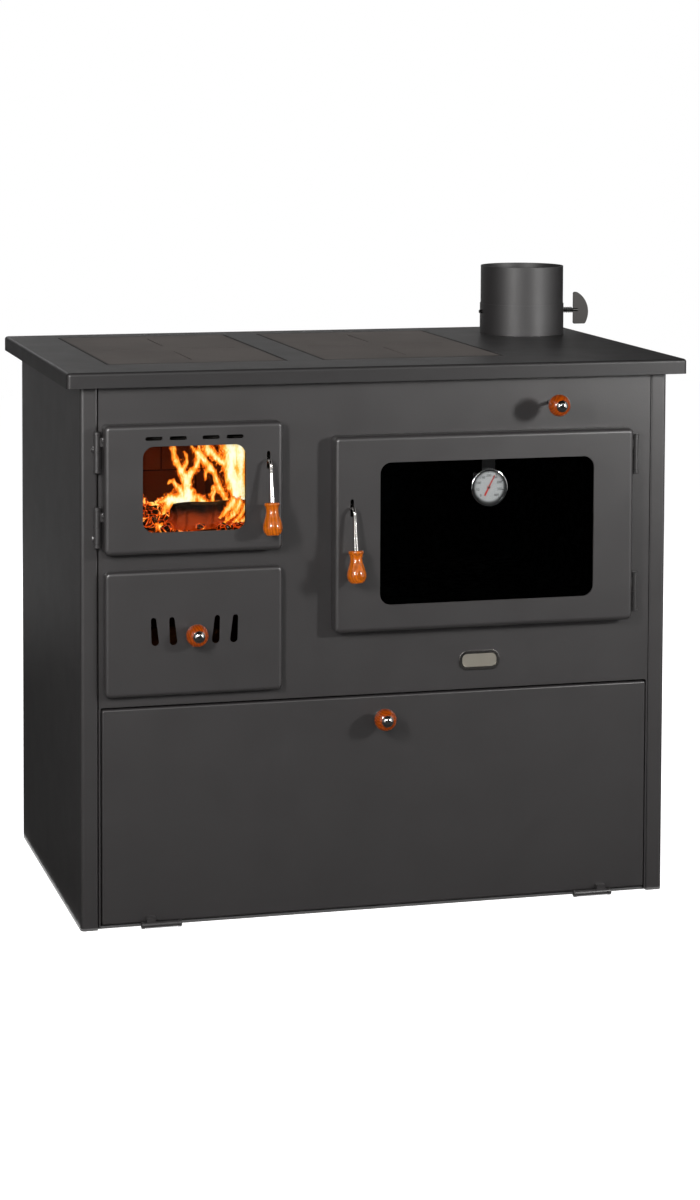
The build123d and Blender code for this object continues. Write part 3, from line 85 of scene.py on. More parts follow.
class Finish:
    def __init__(self, name, fixed=None, world=False):
        kind = bpy.data.worlds if world else bpy.data.materials
        self.data = kind.new(name)
        self.data.use_nodes = True
        self.tree = self.data.node_tree
        self.shader = self.tree.nodes["Background" if world else "Principled BSDF"]
        self.drive(fixed or {})

    def add(self, kind, settings=None, sockets=None, out=0):
        node = self.tree.nodes.new(kind)
        for name, value in (settings or {}).items():
            if name == "stops":
                ramp = node.color_ramp
                while len(ramp.elements) < len(value):
                    ramp.elements.new(1.0)
                for element, (position, colour) in zip(ramp.elements, value):
                    element.position = position
                    element.color = (*colour, 1.0)
            else:
                setattr(node, name, value)
        for name, value in (sockets or {}).items():
            self.feed(node.inputs[name], value)
        return Reading(self, node.outputs[out])

    def feed(self, socket, value):
        if isinstance(value, Reading):
            self.tree.links.new(value.socket, socket)
        elif isinstance(value, tuple) and socket.type == "RGBA":
            socket.default_value = (*value, 1.0)
        else:
            socket.default_value = value

    def drive(self, sockets):
        for name, value in sockets.items():
            self.feed(self.shader.inputs[name], value)
        return self

    def place(self, centre=(0, 0, 0), turn=(0, 0, 0), stretch=(1, 1, 1)):
        where = self.add("ShaderNodeTexCoord", out="Object")
        back = tuple(-part for part in centre)
        moved = self.add("ShaderNodeMapping", {}, {"Vector": where, "Location": back})
        return self.add(
            "ShaderNodeMapping", {}, {"Vector": moved, "Rotation": turn, "Scale": stretch}
        )

    def along(self, place, axis):
        return self.add("ShaderNodeSeparateXYZ", {}, {0: place}, axis)

    def noise(self, place, scale, detail=2.0, rough=0.5, bend=0.0):
        values = {"Vector": place, "Scale": scale, "Detail": detail, "Roughness": rough}
        return self.add("ShaderNodeTexNoise", {}, {**values, "Distortion": bend})

    def cells(self, place, scale, feature="F1"):
        values = {"Vector": place, "Scale": scale}
        return self.add("ShaderNodeTexVoronoi", {"feature": feature}, values)

    def bands(self, place, scale, bend):
        values = {"Vector": place, "Scale": scale, "Distortion": bend}
        return self.add("ShaderNodeTexWave", {"bands_direction": "X"}, values, "Fac")

    def between(self, value, low, high, start=0.0, end=1.0):
        source = {"Value": value, "From Min": low, "From Max": high}
        result = {"To Min": start, "To Max": end}
        return self.add(
            "ShaderNodeMapRange", {"interpolation_type": "SMOOTHSTEP"}, {**source, **result}
        )

    def blend(self, factor, first, second):
        values = {0: factor, 6: first, 7: second}  # the sockets of the node's colour form
        return self.add("ShaderNodeMix", {"data_type": "RGBA"}, values, 2)

    def ramp(self, value, *stops):
        return self.add("ShaderNodeValToRGB", {"stops": stops}, {0: value})

    def attribute(self, name):
        return self.add("ShaderNodeAttribute", {"attribute_name": name}, {}, "Fac")

    def bump(self, height, strength, depth):
        values = {"Height": height, "Strength": strength, "Distance": depth}
        return self.add("ShaderNodeBump", {}, values)


# Finishes, each with the detail of the real surface, and some with painted shade

def scaled(tone, share):
    return tuple(channel * share for channel in tone)


def spanOf(node):
    low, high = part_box(node)
    return tuple((low + high) / 2), (high - low) / 2


def heatPaint(name, tone, rough, grain, specular):
    paint = Finish(name, {"Specular IOR Level": specular})
    place = paint.place()
    broad = paint.noise(place, 2.4, 3.0, 0.55)
    handled = paint.noise(place, 16.0, 5.0, 0.6)
    pebble = paint.noise(place, 420.0, 3.0, 0.55)
    speck = paint.noise(place, 1300.0, 2.0, 0.5)
    cloud = broad * 0.6 + speck * 0.4
    return paint.drive({
        "Base Color": paint.blend(cloud, scaled(tone, 0.88), scaled(tone, 1.12)),
        "Roughness": rough - 0.05 + handled * 0.1 + pebble * 0.06,
        "Normal": paint.bump(pebble * 0.7 + speck * 0.3, 0.3 * grain, 0.0004),
    })


# painted shade: a dark band inwards from each hotplate's edge stands in for the shaded groove round
# it
hotplateEdgeShade = {"from": 0.0060, "full": 0.0025, "dark": 0.85}  # inwards from the plate's edge


def groundIron(name, plate):
    iron = Finish(name, {"Specular IOR Level": 0.2})
    place = iron.place()
    middle, half = spanOf(plate)
    centred = iron.place(middle)
    pastSide = iron.along(centred, "X").size() - half.x
    pastFront = iron.along(centred, "Y").size() - half.y
    past = pastSide.atLeast(pastFront)
    # rim masks the painted shade at the plate's edge
    rim = iron.between(past, -hotplateEdgeShade["from"], -hotplateEdgeShade["full"]) * hotplateEdgeShade["dark"]
    lines = iron.noise(iron.place(stretch=(0.012, 1, 1)), 900.0, 3.0, 0.6)
    clouds = iron.noise(place, 7.0, 5.0, 0.6)
    pits = iron.noise(place, 260.0, 4.0, 0.65)
    tint = iron.between(clouds, 0.35, 0.7)
    colour = iron.blend(tint, (0.084, 0.0740, 0.0685), (0.108, 0.0955, 0.0885))
    return iron.drive({
        "Base Color": iron.blend(rim, colour, (0.010, 0.009, 0.009)),
        "Roughness": 0.54 + lines * 0.1 + clouds * 0.08,
        "Normal": iron.bump(lines * 0.35 + pits * 0.65, 0.22, 0.0005),
    })


def castIron(name):
    iron = Finish(name, {"Specular IOR Level": 0.4, "Metallic": 0.2})
    place = iron.place()
    sand = iron.noise(place, 380.0, 5.0, 0.7)
    ash = iron.between(iron.noise(place, 30.0, 5.0, 0.65), 0.45, 0.75)
    return iron.drive({
        "Base Color": iron.blend(ash, (0.022, 0.019, 0.018), (0.13, 0.12, 0.115)),
        "Roughness": 0.7 + sand * 0.2,
        "Normal": iron.bump(sand, 0.6, 0.0012),
    })


def bakedSheet(name, tone):
    sheet = Finish(name, {"Specular IOR Level": 0.4, "Metallic": 0.45})
    place = sheet.place()
    heat = sheet.noise(place, 9.0, 5.0, 0.6, 0.4)
    soot = sheet.noise(place, 45.0, 6.0, 0.7)
    scale = sheet.noise(place, 700.0, 3.0, 0.6)
    warm = sheet.ramp(
        heat,
        (0.3, scaled(tone, 0.55)),
        (0.52, tone),
        (0.75, (tone[0] * 1.5, tone[1] * 1.25, tone[2])),
    )
    smoked = sheet.between(soot, 0.5, 0.75, 0.0, 0.8)
    return sheet.drive({
        "Base Color": sheet.blend(smoked, warm, (0.008, 0.007, 0.007)),
        "Roughness": 0.5 + soot * 0.3,
        "Normal": sheet.bump(scale * 0.5 + soot * 0.5, 0.35, 0.0006),
    })


def ovenEnamel(name):
    glaze = Finish(name, {"Specular IOR Level": 0.5, "Coat Roughness": 0.12})
    place = glaze.place()
    fleck = glaze.between(glaze.cells(place, 520.0), 0.12, 0.05)
    wave = glaze.noise(place, 60.0, 2.0, 0.5)
    return glaze.drive({
        "Base Color": glaze.blend(fleck * 0.3, (0.006, 0.006, 0.007), (0.09, 0.10, 0.115)),
        "Roughness": 0.2 + wave * 0.14,
        "Coat Weight": 0.3 + wave * 0.3,
        "Normal": glaze.bump(wave, 0.12, 0.0008),
    })


def fireclay(name, turn):
    clay = Finish(name, {"Specular IOR Level": 0.2})
    place = clay.place(turn=turn)
    grit = clay.noise(place, 240.0, 6.0, 0.7)
    stain = clay.noise(place, 11.0, 5.0, 0.6, 0.6)
    high = clay.along(clay.place(), "Z")
    bricks = clay.add(
        "ShaderNodeTexBrick",
        {"offset": 0.5},
        {
            "Vector": place,
            "Color1": (0.28, 0.070, 0.028),
            "Color2": (0.20, 0.050, 0.022),
            "Mortar": (0.04, 0.016, 0.010),
            "Scale": 8.6,
            "Mortar Size": 0.011,
            "Mortar Smooth": 0.35,
            "Brick Width": 1.05,
            "Row Height": 0.5,
        },
        "Color",
    )
    joint = clay.add("ShaderNodeSeparateColor", {}, {0: bricks}, 0)
    soot = clay.between(high + stain * 0.14, 0.70, 0.86, 0.0, 0.85)
    sooted = clay.blend(soot, bricks, (0.018, 0.011, 0.009))
    stained = clay.between(stain, 0.45, 0.8, 0.0, 0.6)
    return clay.drive({
        "Base Color": clay.blend(stained, sooted, (0.035, 0.017, 0.012)),
        "Roughness": 0.86 + grit * 0.12,
        "Normal": clay.bump(grit * 0.35 + clay.between(joint, 0.05, 0.2), 0.7, 0.003),
    })


glassSeat = 0.010  # how far a door's pan covers the edge of its glass


def stoveGlass(name, pane, tint, soot):
    glass = Finish(name, {"Transmission Weight": 1.0, "IOR": 1.1})
    middle, half = spanOf(pane)
    place = glass.place(middle)
    across = glass.along(place, "X").size() / (half.x - glassSeat)
    upward = glass.along(place, "Z").size() / (half.z - glassSeat)
    smear = glass.noise(glass.place(), 26.0, 5.0, 0.65, 0.8)
    edge = glass.between(across.atLeast(upward) + smear * 0.12, 0.94, 1.16, 0.0, soot)
    return glass.drive({
        "Base Color": glass.blend(edge, tint, (0.03, 0.022, 0.016)),
        "Roughness": 0.004 + edge * 0.3 + glass.between(smear, 0.62, 0.8) * 0.01,
    })


def clearLens(name):
    lens = Finish(name, {"Base Color": (0.6, 0.62, 0.63), "Metallic": 1.0})
    smear = lens.noise(lens.place(), 300.0, 3.0, 0.6)
    return lens.drive({
        "Roughness": lens.between(smear, 0.5, 0.9, 0.03, 0.12),
        "Alpha": 0.08 + smear * 0.06,
    })


def wovenRope(name):
    rope = Finish(name, {"Specular IOR Level": 0.2})
    place = rope.place()
    one = rope.bands(rope.place(turn=(0, radians(45), 0)), 190.0, 0.6)
    other = rope.bands(rope.place(turn=(0, radians(-45), 0)), 190.0, 0.6)
    weave = one.atLeast(other)
    fuzz = rope.noise(place, 1500.0, 3.0, 0.7)
    dust = rope.noise(place, 20.0, 4.0, 0.6)
    shade = rope.blend(dust, (0.055, 0.050, 0.046), (0.15, 0.14, 0.13))
    return rope.drive({
        # the rope is painted near black between its strands: painted shade in the weave's hollows
        "Base Color": rope.blend(weave, (0.018, 0.016, 0.015), shade),
        "Roughness": 0.85 + fuzz * 0.12,
        "Normal": rope.bump(weave * 0.8 + fuzz * 0.2, 0.9, 0.0012),
    })


def brightChrome(name, tone=(0.62, 0.60, 0.575), rough=0.14):
    chrome = Finish(name, {"Metallic": 1.0})
    place = chrome.place()
    haze = chrome.noise(place, 70.0, 4.0, 0.6)
    slanted = chrome.place(turn=(0.4, 0.7, 0.2), stretch=(1, 0.03, 1))
    scratch = chrome.noise(slanted, 1600.0, 2.0, 0.5)
    worn = chrome.between(scratch, 0.62, 0.8, 0.0, 0.08)
    return chrome.drive({
        "Base Color": chrome.blend(haze, scaled(tone, 0.93), tone),
        "Roughness": rough - 0.02 + haze * 0.04 + worn,
        "Normal": chrome.bump(scratch, 0.04, 0.0001),
    })


def varnishedWood(name, tone, centre, tilt, spin):
    varnish = {"Specular IOR Level": 0.1, "Coat Roughness": 0.12, "Coat IOR": 1.55}
    wood = Finish(name, varnish)
    turn = (radians(tilt), 0, radians(spin))
    place = wood.place(centre, turn)
    warp = wood.noise(wood.place(centre, turn, (1, 1, 0.15)), 60.0, 3.0, 0.5)
    across = wood.along(place, "X") + warp * 0.012
    rings = wood.add("ShaderNodeMath", {"operation": "SINE"}, {0: across * 1500.0})
    pores = wood.noise(wood.place(centre, turn, (1, 1, 0.05)), 1500.0, 2.0, 0.6)
    grain = wood.between(rings, -0.9, 1.0)
    base = wood.blend(grain * 0.5, tone, scaled(tone, 0.3))
    dots = wood.between(pores, 0.55, 0.75, 0.0, 0.4)
    return wood.drive({
        "Base Color": wood.blend(dots, base, (0.10, 0.012, 0.002)),
        "Roughness": 0.3 + pores * 0.1,
        "Coat Weight": 0.8 + warp * 0.2,
        "Normal": wood.bump(pores, 0.06, 0.0002),
    })


# Painted shade: the dial's face is darkened towards its edge, where the case would shade it, most
# at the lower left
dialPaintedShade = {"middle": (0.1705, 0, 0.675), "from": 0.0215, "full": 0.0265}


def dialPaint(name, tone, shade=0.0):
    face = Finish(name, {"Specular IOR Level": 0.3})
    place = face.place()
    centred = face.place(dialPaintedShade["middle"])
    across, up = face.along(centred, "X"), face.along(centred, "Z")
    reach = across * across + up * up
    # edge is the painted shade at the rim of the face
    edge = face.between(reach, dialPaintedShade["from"] ** 2, dialPaintedShade["full"] ** 2) * shade
    grain = face.noise(place, 1800.0, 3.0, 0.6)
    age = face.noise(place, 40.0, 4.0, 0.6)
    aged = face.blend(age, scaled(tone, 0.9), tone)
    return face.drive({
        "Base Color": face.blend(edge, aged, scaled(tone, 0.1)),
        "Roughness": 0.5 + grain * 0.12,
        "Normal": face.bump(grain, 0.1, 0.0001),
    })


finishes = {
    "enamel": heatPaint("powderCoat", (0.029, 0.0270, 0.0276), 0.37, 1.0, 0.95),
    "cooktop_steel": heatPaint("topPaint", (0.0195, 0.0184, 0.0189), 0.40, 0.7, 0.55),
    "flue_steel": heatPaint("fluePaint", (0.026, 0.0245, 0.0252), 0.48, 0.5, 0.9),
    "grate_iron": castIron("grateIron"),
    "hearth_steel": bakedSheet("bakedSheet", (0.030, 0.027, 0.025)),
    "oven_enamel": ovenEnamel("ovenEnamel"),
    "rope_seal": wovenRope("wovenRope"),
    "chrome": brightChrome("chrome"),
    "dial_lens": clearLens("dialLens"),
    "dial_face": dialPaint("dialPaint", (0.46, 0.485, 0.49), 1.0),
    "needle_red": dialPaint("needleRed", (0.62, 0.03, 0.02)),
}
ownFinishes = {
    "hotplate_left": groundIron("groundIronLeft", "hotplate_left"),
    "hotplate_right": groundIron("groundIronRight", "hotplate_right"),
    "firebrick_left": fireclay("fireclayLeft", (0, radians(90), radians(90))),
    "firebrick_right": fireclay("fireclayRight", (0, radians(90), radians(90))),
    "firebrick_back": fireclay("fireclayBack", (radians(-90), 0, 0)),
    "fire_door_glass": stoveGlass("fireGlass", "fire_door_glass", (0.93, 0.92, 0.90), 0.5),
    "oven_door_glass": stoveGlass("ovenGlass", "oven_door_glass", (0.05, 0.062, 0.066), 0.1),
    # painted shade: the air shutter takes a near-black copy of the baked sheet, so the drawer's
    # slots read dark
    "air_shutter": bakedSheet("shutterSheetShaded", (0.006, 0.006, 0.006)),
    "thermometer_case": brightChrome("caseSteel", (0.55, 0.56, 0.57), 0.12),
    "damper_handle": brightChrome("handleSteel", (0.042, 0.040, 0.039), 0.42),
    "damper_spring": brightChrome("springSteel", (0.05, 0.05, 0.05), 0.35),
    "damper_shaft": brightChrome("shaftSteel", (0.06, 0.058, 0.056), 0.35),
}
knobTone = (0.33, 0.052, 0.001)
gripTone = (0.52, 0.112, 0.001)
woods = {
    # material, tone, middle of the turned piece, tilt and spin of its grain
    "drawer_knob": ("drawerKnobWood", knobTone, (-0.3025, -0.33, 0.461), 90, 20),
    "flap_knob": ("flapKnobWood", knobTone, (0, -0.33, 0.3125), 90, 70),
    "bypass_knob": ("rodKnobWood", knobTone, (0.278, -0.34, 0.8035), 90, -35),
    "fire_latch_grip": ("fireGripWood", gripTone, (-0.1883, -0.344, 0.64), 8, 30),
    "oven_latch_grip": ("ovenGripWood", gripTone, (-0.054, -0.344, 0.56), 8, 75),
}
for name, values in woods.items():
    ownFinishes[name] = varnishedWood(*values)
slotOf = {part["node"]: part["material_slot"] for part in frame["record"]["subparts"]}
for name, node in nodes.items():
    finish = ownFinishes.get(name) or finishes[slotOf[name]]
    node.material_slots[0].material = finish.data
print("finishes on", len(nodes), "nodes")


# New pieces: each is one mesh that rides a body of the stove

sharpFrom = radians(40)


def addObject(name, data):
    made = bpy.data.objects.new(name, data)
    bpy.context.scene.collection.objects.link(made)
    return made


def meshObject(name, shape, finish):
    mesh = bpy.data.meshes.new(name)
    shape.to_mesh(mesh)
    shape.free()
    mesh.materials.append(finish.data)
    return addObject(name, mesh)


def addPiece(name, shape, finish, body, smooth=True):
    piece = meshObject(name, shape, finish)
    if smooth:
        piece.data.shade_smooth()
        piece.data.set_sharp_from_angle(angle=sharpFrom)
    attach(piece, body)
    return piece


def picked(items, kind):
    return [item for item in items if isinstance(item, kind)]


# Bare badge on the front panel

badge = {
    "centre": (0.1638, -0.292, 0.3936),
    "wide": 0.067,
    "high": 0.0315,
    "corner": 0.0135,
    "thick": 0.0022,
    "edge": 0.0007,
    "rim": 0.0042,
    "slope": 0.0006,
    "sunk": 0.0009,
}


def makeBadge():
    metal = brightChrome("badgeChrome", (0.50, 0.48, 0.46), 0.2)
    shape = bmesh.new()
    plate = bmesh.ops.create_grid(shape, x_segments=1, y_segments=1, size=0.5)["verts"]
    bmesh.ops.scale(shape, vec=(badge["wide"], badge["high"], 1), verts=plate)
    bmesh.ops.bevel(
        shape, geom=plate, offset=badge["corner"], segments=8,
        profile=0.5, affect="VERTICES", material=-1,
    )
    face = max(shape.faces, key=lambda one: one.calc_area())
    grown = bmesh.ops.extrude_face_region(shape, geom=[face])["geom"]
    front = picked(grown, bmesh.types.BMFace)[0]
    bmesh.ops.translate(shape, vec=(0, 0, badge["thick"]), verts=front.verts)
    bmesh.ops.bevel(
        shape, geom=list(front.edges), offset=badge["edge"], segments=3,
        profile=0.5, affect="EDGES", material=-1,
    )
    top = max(shape.faces, key=lambda one: (round(one.calc_center_median().z, 5), one.calc_area()))
    bmesh.ops.inset_region(shape, faces=[top], thickness=badge["rim"], depth=0.0)
    bmesh.ops.inset_region(shape, faces=[top], thickness=badge["slope"], depth=-badge["sunk"])
    bmesh.ops.recalc_face_normals(shape, faces=shape.faces)
    turn = Matrix.Translation(badge["centre"]) @ Matrix.Rotation(radians(90), 4, "X")
    bmesh.ops.transform(shape, matrix=turn, verts=shape.verts)
    made = addPiece("badge_plate", shape, metal, "stove")
    made.data.materials.append(brightChrome("badgeField", (0.66, 0.62, 0.53), 0.42).data)
    facing = [one for one in made.data.polygons if one.normal.y < -0.99]
    max(facing, key=lambda one: one.area).material_index = 1


makeBadge()

# Weld beads on the hinges, and the hex screws that hold the back sheet

welds = {
    "size": (0.0028, 0.0024, 0.0048),
    "knuckle": 0.0315,  # height of one hinge knuckle
    "in": 0.0185,  # from the knuckle's end to the bead
    "onDoor": (0.0082, -0.3045),  # sideways from the hinge's axis, and the depth
    "onPost": (-0.0052, -0.2938),
    "rough": 0.45,
    "grain": 700,
}
screws = {
    "across": 0.0068,
    "taper": 2.15,  # the head's width over its radius at the top
    "tall": 0.0030,
    "flange": 0.0052,
    "flangeTop": 0.9,
    "washer": 0.001,
    "inset": 0.016,
    "columns": 5,
    "rows": 4,
    "rowTurn": 2.1,
}


def addBead(shape, place):
    bead = bmesh.ops.create_icosphere(shape, subdivisions=3, radius=1.0)["verts"]
    bmesh.ops.scale(shape, vec=welds["size"], verts=bead)
    bmesh.ops.translate(shape, vec=place, verts=bead)
    for point in bead:
        lump = welds["rough"] * noise.noise(point.co * welds["grain"])
        point.co += (point.co - Vector(place)) * lump


def makeWelds():
    paint = finishes["enamel"]
    for door, side in (("fire", 1), ("oven", -1)):
        barrelLow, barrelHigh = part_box(door + "_hinge_barrels")
        postLow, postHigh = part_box(door + "_hinge_posts")
        axis = (postLow.x + postHigh.x) / 2
        onDoor, onPost = bmesh.new(), bmesh.new()
        for foot in (barrelLow.z, barrelHigh.z - welds["knuckle"]):
            across, deep = welds["onDoor"]
            addBead(onDoor, (axis + side * across, deep, foot + welds["in"]))
        for head in (postLow.z + welds["knuckle"], postHigh.z):
            across, deep = welds["onPost"]
            addBead(onPost, (axis + side * across, deep, head - welds["in"]))
        addPiece(door + "_door_welds", onDoor, paint, door + "_door")
        addPiece(door + "_post_welds", onPost, paint, "stove")


def addScrew(shape, place, spin):
    flange = bmesh.ops.create_cone(
        shape, cap_ends=True, segments=20, depth=screws["washer"],
        radius1=screws["flange"], radius2=screws["flange"] * screws["flangeTop"],
    )["verts"]
    head = bmesh.ops.create_cone(
        shape, cap_ends=True, segments=6, depth=screws["tall"],
        radius1=screws["across"] / 2, radius2=screws["across"] / screws["taper"],
    )["verts"]
    bmesh.ops.translate(shape, vec=(0, 0, screws["washer"] / 2), verts=flange)
    bmesh.ops.translate(shape, vec=(0, 0, screws["washer"] + screws["tall"] / 2), verts=head)
    backward = Matrix.Rotation(radians(-90), 4, "X") @ Matrix.Rotation(spin, 4, "Z")
    bmesh.ops.transform(shape, matrix=Matrix.Translation(place) @ backward, verts=flange + head)


def makeScrews():
    shape = bmesh.new()
    low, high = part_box("back_panel")
    inset, columns, rows = screws["inset"], screws["columns"], screws["rows"]
    wide, tall = high.x - low.x - 2 * inset, high.z - low.z - 2 * inset
    for column in range(columns):
        for row in range(rows):
            if 0 < column < columns - 1 and 0 < row < rows - 1:
                continue
            x = low.x + inset + wide * column / (columns - 1)
            z = low.z + inset + tall * row / (rows - 1)
            addScrew(shape, (x, high.y, z), column + screws["rowTurn"] * row)
    bmesh.ops.recalc_face_normals(shape, faces=shape.faces)
    addPiece("back_screws", shape, finishes["flue_steel"], "stove")


makeWelds()
makeScrews()

# Thermometer: scale marks and figures printed on the dial, and the cap on the needle's pin

dial = {
    "centre": Vector((0.1695, -0.3178, 0.674)),
    "printThick": 0.00012,
    "outer": 0.0262,
    "inner": 0.0228,
    "minorInner": 0.0245,
    "majorWide": 0.0010,
    "minorWide": 0.0005,
    "figureAt": 0.0185,
    "figureHigh": 0.0056,
    "degrees": 50,  # from one figure to the next
    "sweep": 270,
    "majors": 9,
    "minors": 4,
    "cap": {"radius": 0.0021, "flat": 0.42, "forward": 0.0017},
}


def dialAngle(share):
    return radians(dial["sweep"] * (share - 0.5))


def printFigures(shape, middle):
    for step in range(dial["majors"]):
        angle = dialAngle(step / (dial["majors"] - 1))
        text = bpy.data.curves.new("figure", "FONT")
        text.body = str(dial["degrees"] * step)
        text.size = dial["figureHigh"]
        text.align_x = "CENTER"
        text.align_y = "CENTER"
        text.extrude = dial["printThick"] / 2
        holder = bpy.data.objects.new("figure", text)
        figure = bpy.data.meshes.new_from_object(holder)
        place = middle + Vector((sin(angle), 0, cos(angle))) * dial["figureAt"]
        figure.transform(Matrix.Translation(place) @ Matrix.Rotation(radians(90), 4, "X"))
        shape.from_mesh(figure)
        bpy.data.objects.remove(holder)
        bpy.data.meshes.remove(figure)


def makeDialMarks():
    ink = dialPaint("dialInk", (0.012, 0.012, 0.014))
    shape = bmesh.new()
    middle = dial["centre"] - Vector((0, dial["printThick"] / 2, 0))
    steps = (dial["majors"] - 1) * dial["minors"]
    for step in range(steps + 1):
        minor = step % dial["minors"] > 0
        inner = dial["minorInner"] if minor else dial["inner"]
        wide = dial["minorWide"] if minor else dial["majorWide"]
        mark = bmesh.ops.create_cube(shape, size=1.0)["verts"]
        bmesh.ops.scale(shape, vec=(wide, dial["printThick"], dial["outer"] - inner), verts=mark)
        bmesh.ops.translate(shape, vec=(0, 0, (dial["outer"] + inner) / 2), verts=mark)
        turn = Matrix.Rotation(dialAngle(step / steps), 4, "Y")
        bmesh.ops.transform(shape, matrix=Matrix.Translation(middle) @ turn, verts=mark)
    printFigures(shape, middle)
    addPiece("dial_marks", shape, ink, "oven_door", smooth=False)


def makePinCap():
    cap = dial["cap"]
    shape = bmesh.new()
    bmesh.ops.create_uvsphere(shape, u_segments=24, v_segments=12, radius=cap["radius"])
    bmesh.ops.scale(shape, vec=(1, cap["flat"], 1), verts=shape.verts)
    place = dial["centre"] - Vector((0, cap["forward"], 0))
    bmesh.ops.translate(shape, vec=place, verts=shape.verts)
    addPiece("pin_cap", shape, finishes["chrome"], "oven_door")


makeDialMarks()
makePinCap()
print("badge and dial")

# The fire: coals on the grate, split logs and flames behind the glass

coalBed = {
    "low": (-0.420, -0.235, 0.596),
    "high": (-0.180, 0.140, 0.612),
    "count": 150,
    "smallest": 0.007,
    "largest": 0.015,
    "rough": 0.5,
    "grain": 90,
    "seedStep": 1.7,
    "flattest": 0.6,
    "roundest": 0.9,
}
logs = {
    # middle, half length, radius, then the turn about Z, the tilt and the roll in degrees
    "log_front": ((-0.243, -0.150, 0.6155), 0.074, 0.034, 14, 0, 20),
    "log_left": ((-0.372, -0.090, 0.622), 0.085, 0.030, 78, 6, 130),
}
splitLog = {
    "angles": (0, 105),  # of the two split faces
    "off": 0.12,
    "taper": 0.94,
    "sides": 28,
    "slices": 16,
    "longest": 0.012,
    "swell": 0.22,
    "swellGrain": (60, 60, 14),
    "fuzz": 0.004,
    "fuzzGrain": 160,
}
flameField = {
    # the sheets' outline and mesh step in mm, their thickness and sway in metres
    "left": -354,
    "right": -156,
    "low": 598,
    "high": 766,
    "step": 2.0,
    "thick": 0.003,
    "sway": 0.012,
    "swayGrain": (22, 16),
    "coldest": 0.1,
    "spots": 5,  # on a stream's curve for each of its points
}
# How hot a stream is on its line, and how far its heat reaches
flameHeat = {"least": 0.52, "widthForMore": 18, "fall": 0.85, "furthest": 6.0}
flameLayers = {
    # depth in mm, then one line of points for each stream, base to tip: x, z, half width in mm
    "back": (-100, [
        [(-188, 636, 8), (-192, 655, 11), (-196, 668, 11), (-198, 684, 11), (-197, 700, 14),
         (-196, 714, 16), (-198, 727, 15), (-200, 744, 9)],
        [(-176, 630, 8), (-181, 660, 8), (-182, 680, 7), (-180, 705, 8), (-182, 730, 7)],
        [(-232, 716, 6), (-222, 704, 5.5), (-212, 696, 5)],
        [(-238, 712, 4), (-239, 725, 6), (-236, 740, 5)],
    ]),
    "middle": (-120, [
        [(-276, 622, 24), (-276, 632, 20), (-274, 644, 12), (-274, 657, 8.5), (-278, 676, 6.5),
         (-286, 692, 5.5), (-293, 707, 4.5), (-296, 722, 4), (-297, 740, 2)],
        [(-274, 672, 5), (-269, 683, 6), (-262, 694, 5), (-257, 706, 4), (-260, 717, 4),
         (-267, 727, 2.5)],
        [(-288, 640, 8), (-303, 643, 6), (-313, 641, 4), (-320, 638, 2.5)],
        [(-283, 652, 4), (-290, 663, 3.4), (-299, 671, 3.2), (-305, 669, 2)],
        [(-302, 640, 5), (-311, 628, 4), (-314, 618, 3.5), (-316, 605, 2)],
        [(-212, 640, 4.5), (-218, 652, 5), (-224, 663, 4.8), (-229, 677, 4.8), (-237, 692, 5.6),
         (-247, 705, 5.6), (-253, 717, 4), (-256, 730, 2.5)],
        [(-232, 636, 3), (-233, 645, 3.5), (-230, 653, 3.5), (-232, 662, 2)],
        [(-246, 628, 8), (-251, 638, 6), (-257, 646, 4)],
        [(-240, 690, 4), (-246, 682, 3), (-247, 672, 2)],
        [(-285, 686, 3), (-276, 697, 3), (-275, 708, 2.5), (-279, 718, 2)],
    ]),
    "front": (-186, [
        [(-214, 648, 6), (-222, 635, 5.5), (-235, 620, 3.6), (-253, 604, 1.5)],
        [(-203, 644, 6), (-211, 629, 4.8), (-226, 614, 3.0), (-238, 604, 1.2)],
        [(-193, 637, 4), (-203, 622, 3.4), (-216, 610, 1.6)],
        [(-193, 619, 3.6), (-208, 609, 2.9), (-229, 604, 1.4)],
        [(-329, 601, 5), (-333, 610, 4.6), (-340, 615, 1.4)],
    ]),
}


def emberGlow():
    ember = Finish("coalGlow", {"Specular IOR Level": 0.15, "Emission Strength": 1.5})
    place = ember.place()
    crack = ember.between(ember.cells(place, 95.0, "DISTANCE_TO_EDGE"), 0.16, 0.0)
    glow = ember.noise(place, 42.0, 4.0, 0.6, 0.8)
    ash = ember.noise(place, 150.0, 5.0, 0.7)
    fire = ember.ramp(
        crack * 0.55 + ember.between(glow, 0.4, 0.75),
        (0.25, (0.0, 0.0, 0.0)),
        (0.5, (0.35, 0.02, 0.0)),
        (0.8, (1.0, 0.16, 0.01)),
        (1.0, (1.0, 0.55, 0.12)),
    )
    dusted = ember.between(ash, 0.5, 0.72)
    return ember.drive({
        "Base Color": ember.blend(dusted, (0.02, 0.012, 0.010), (0.16, 0.13, 0.11)),
        "Roughness": 0.85 + ash * 0.12,
        "Emission Color": fire,
        "Normal": ember.bump(ash * 0.5 + glow * 0.5, 0.8, 0.003),
    })


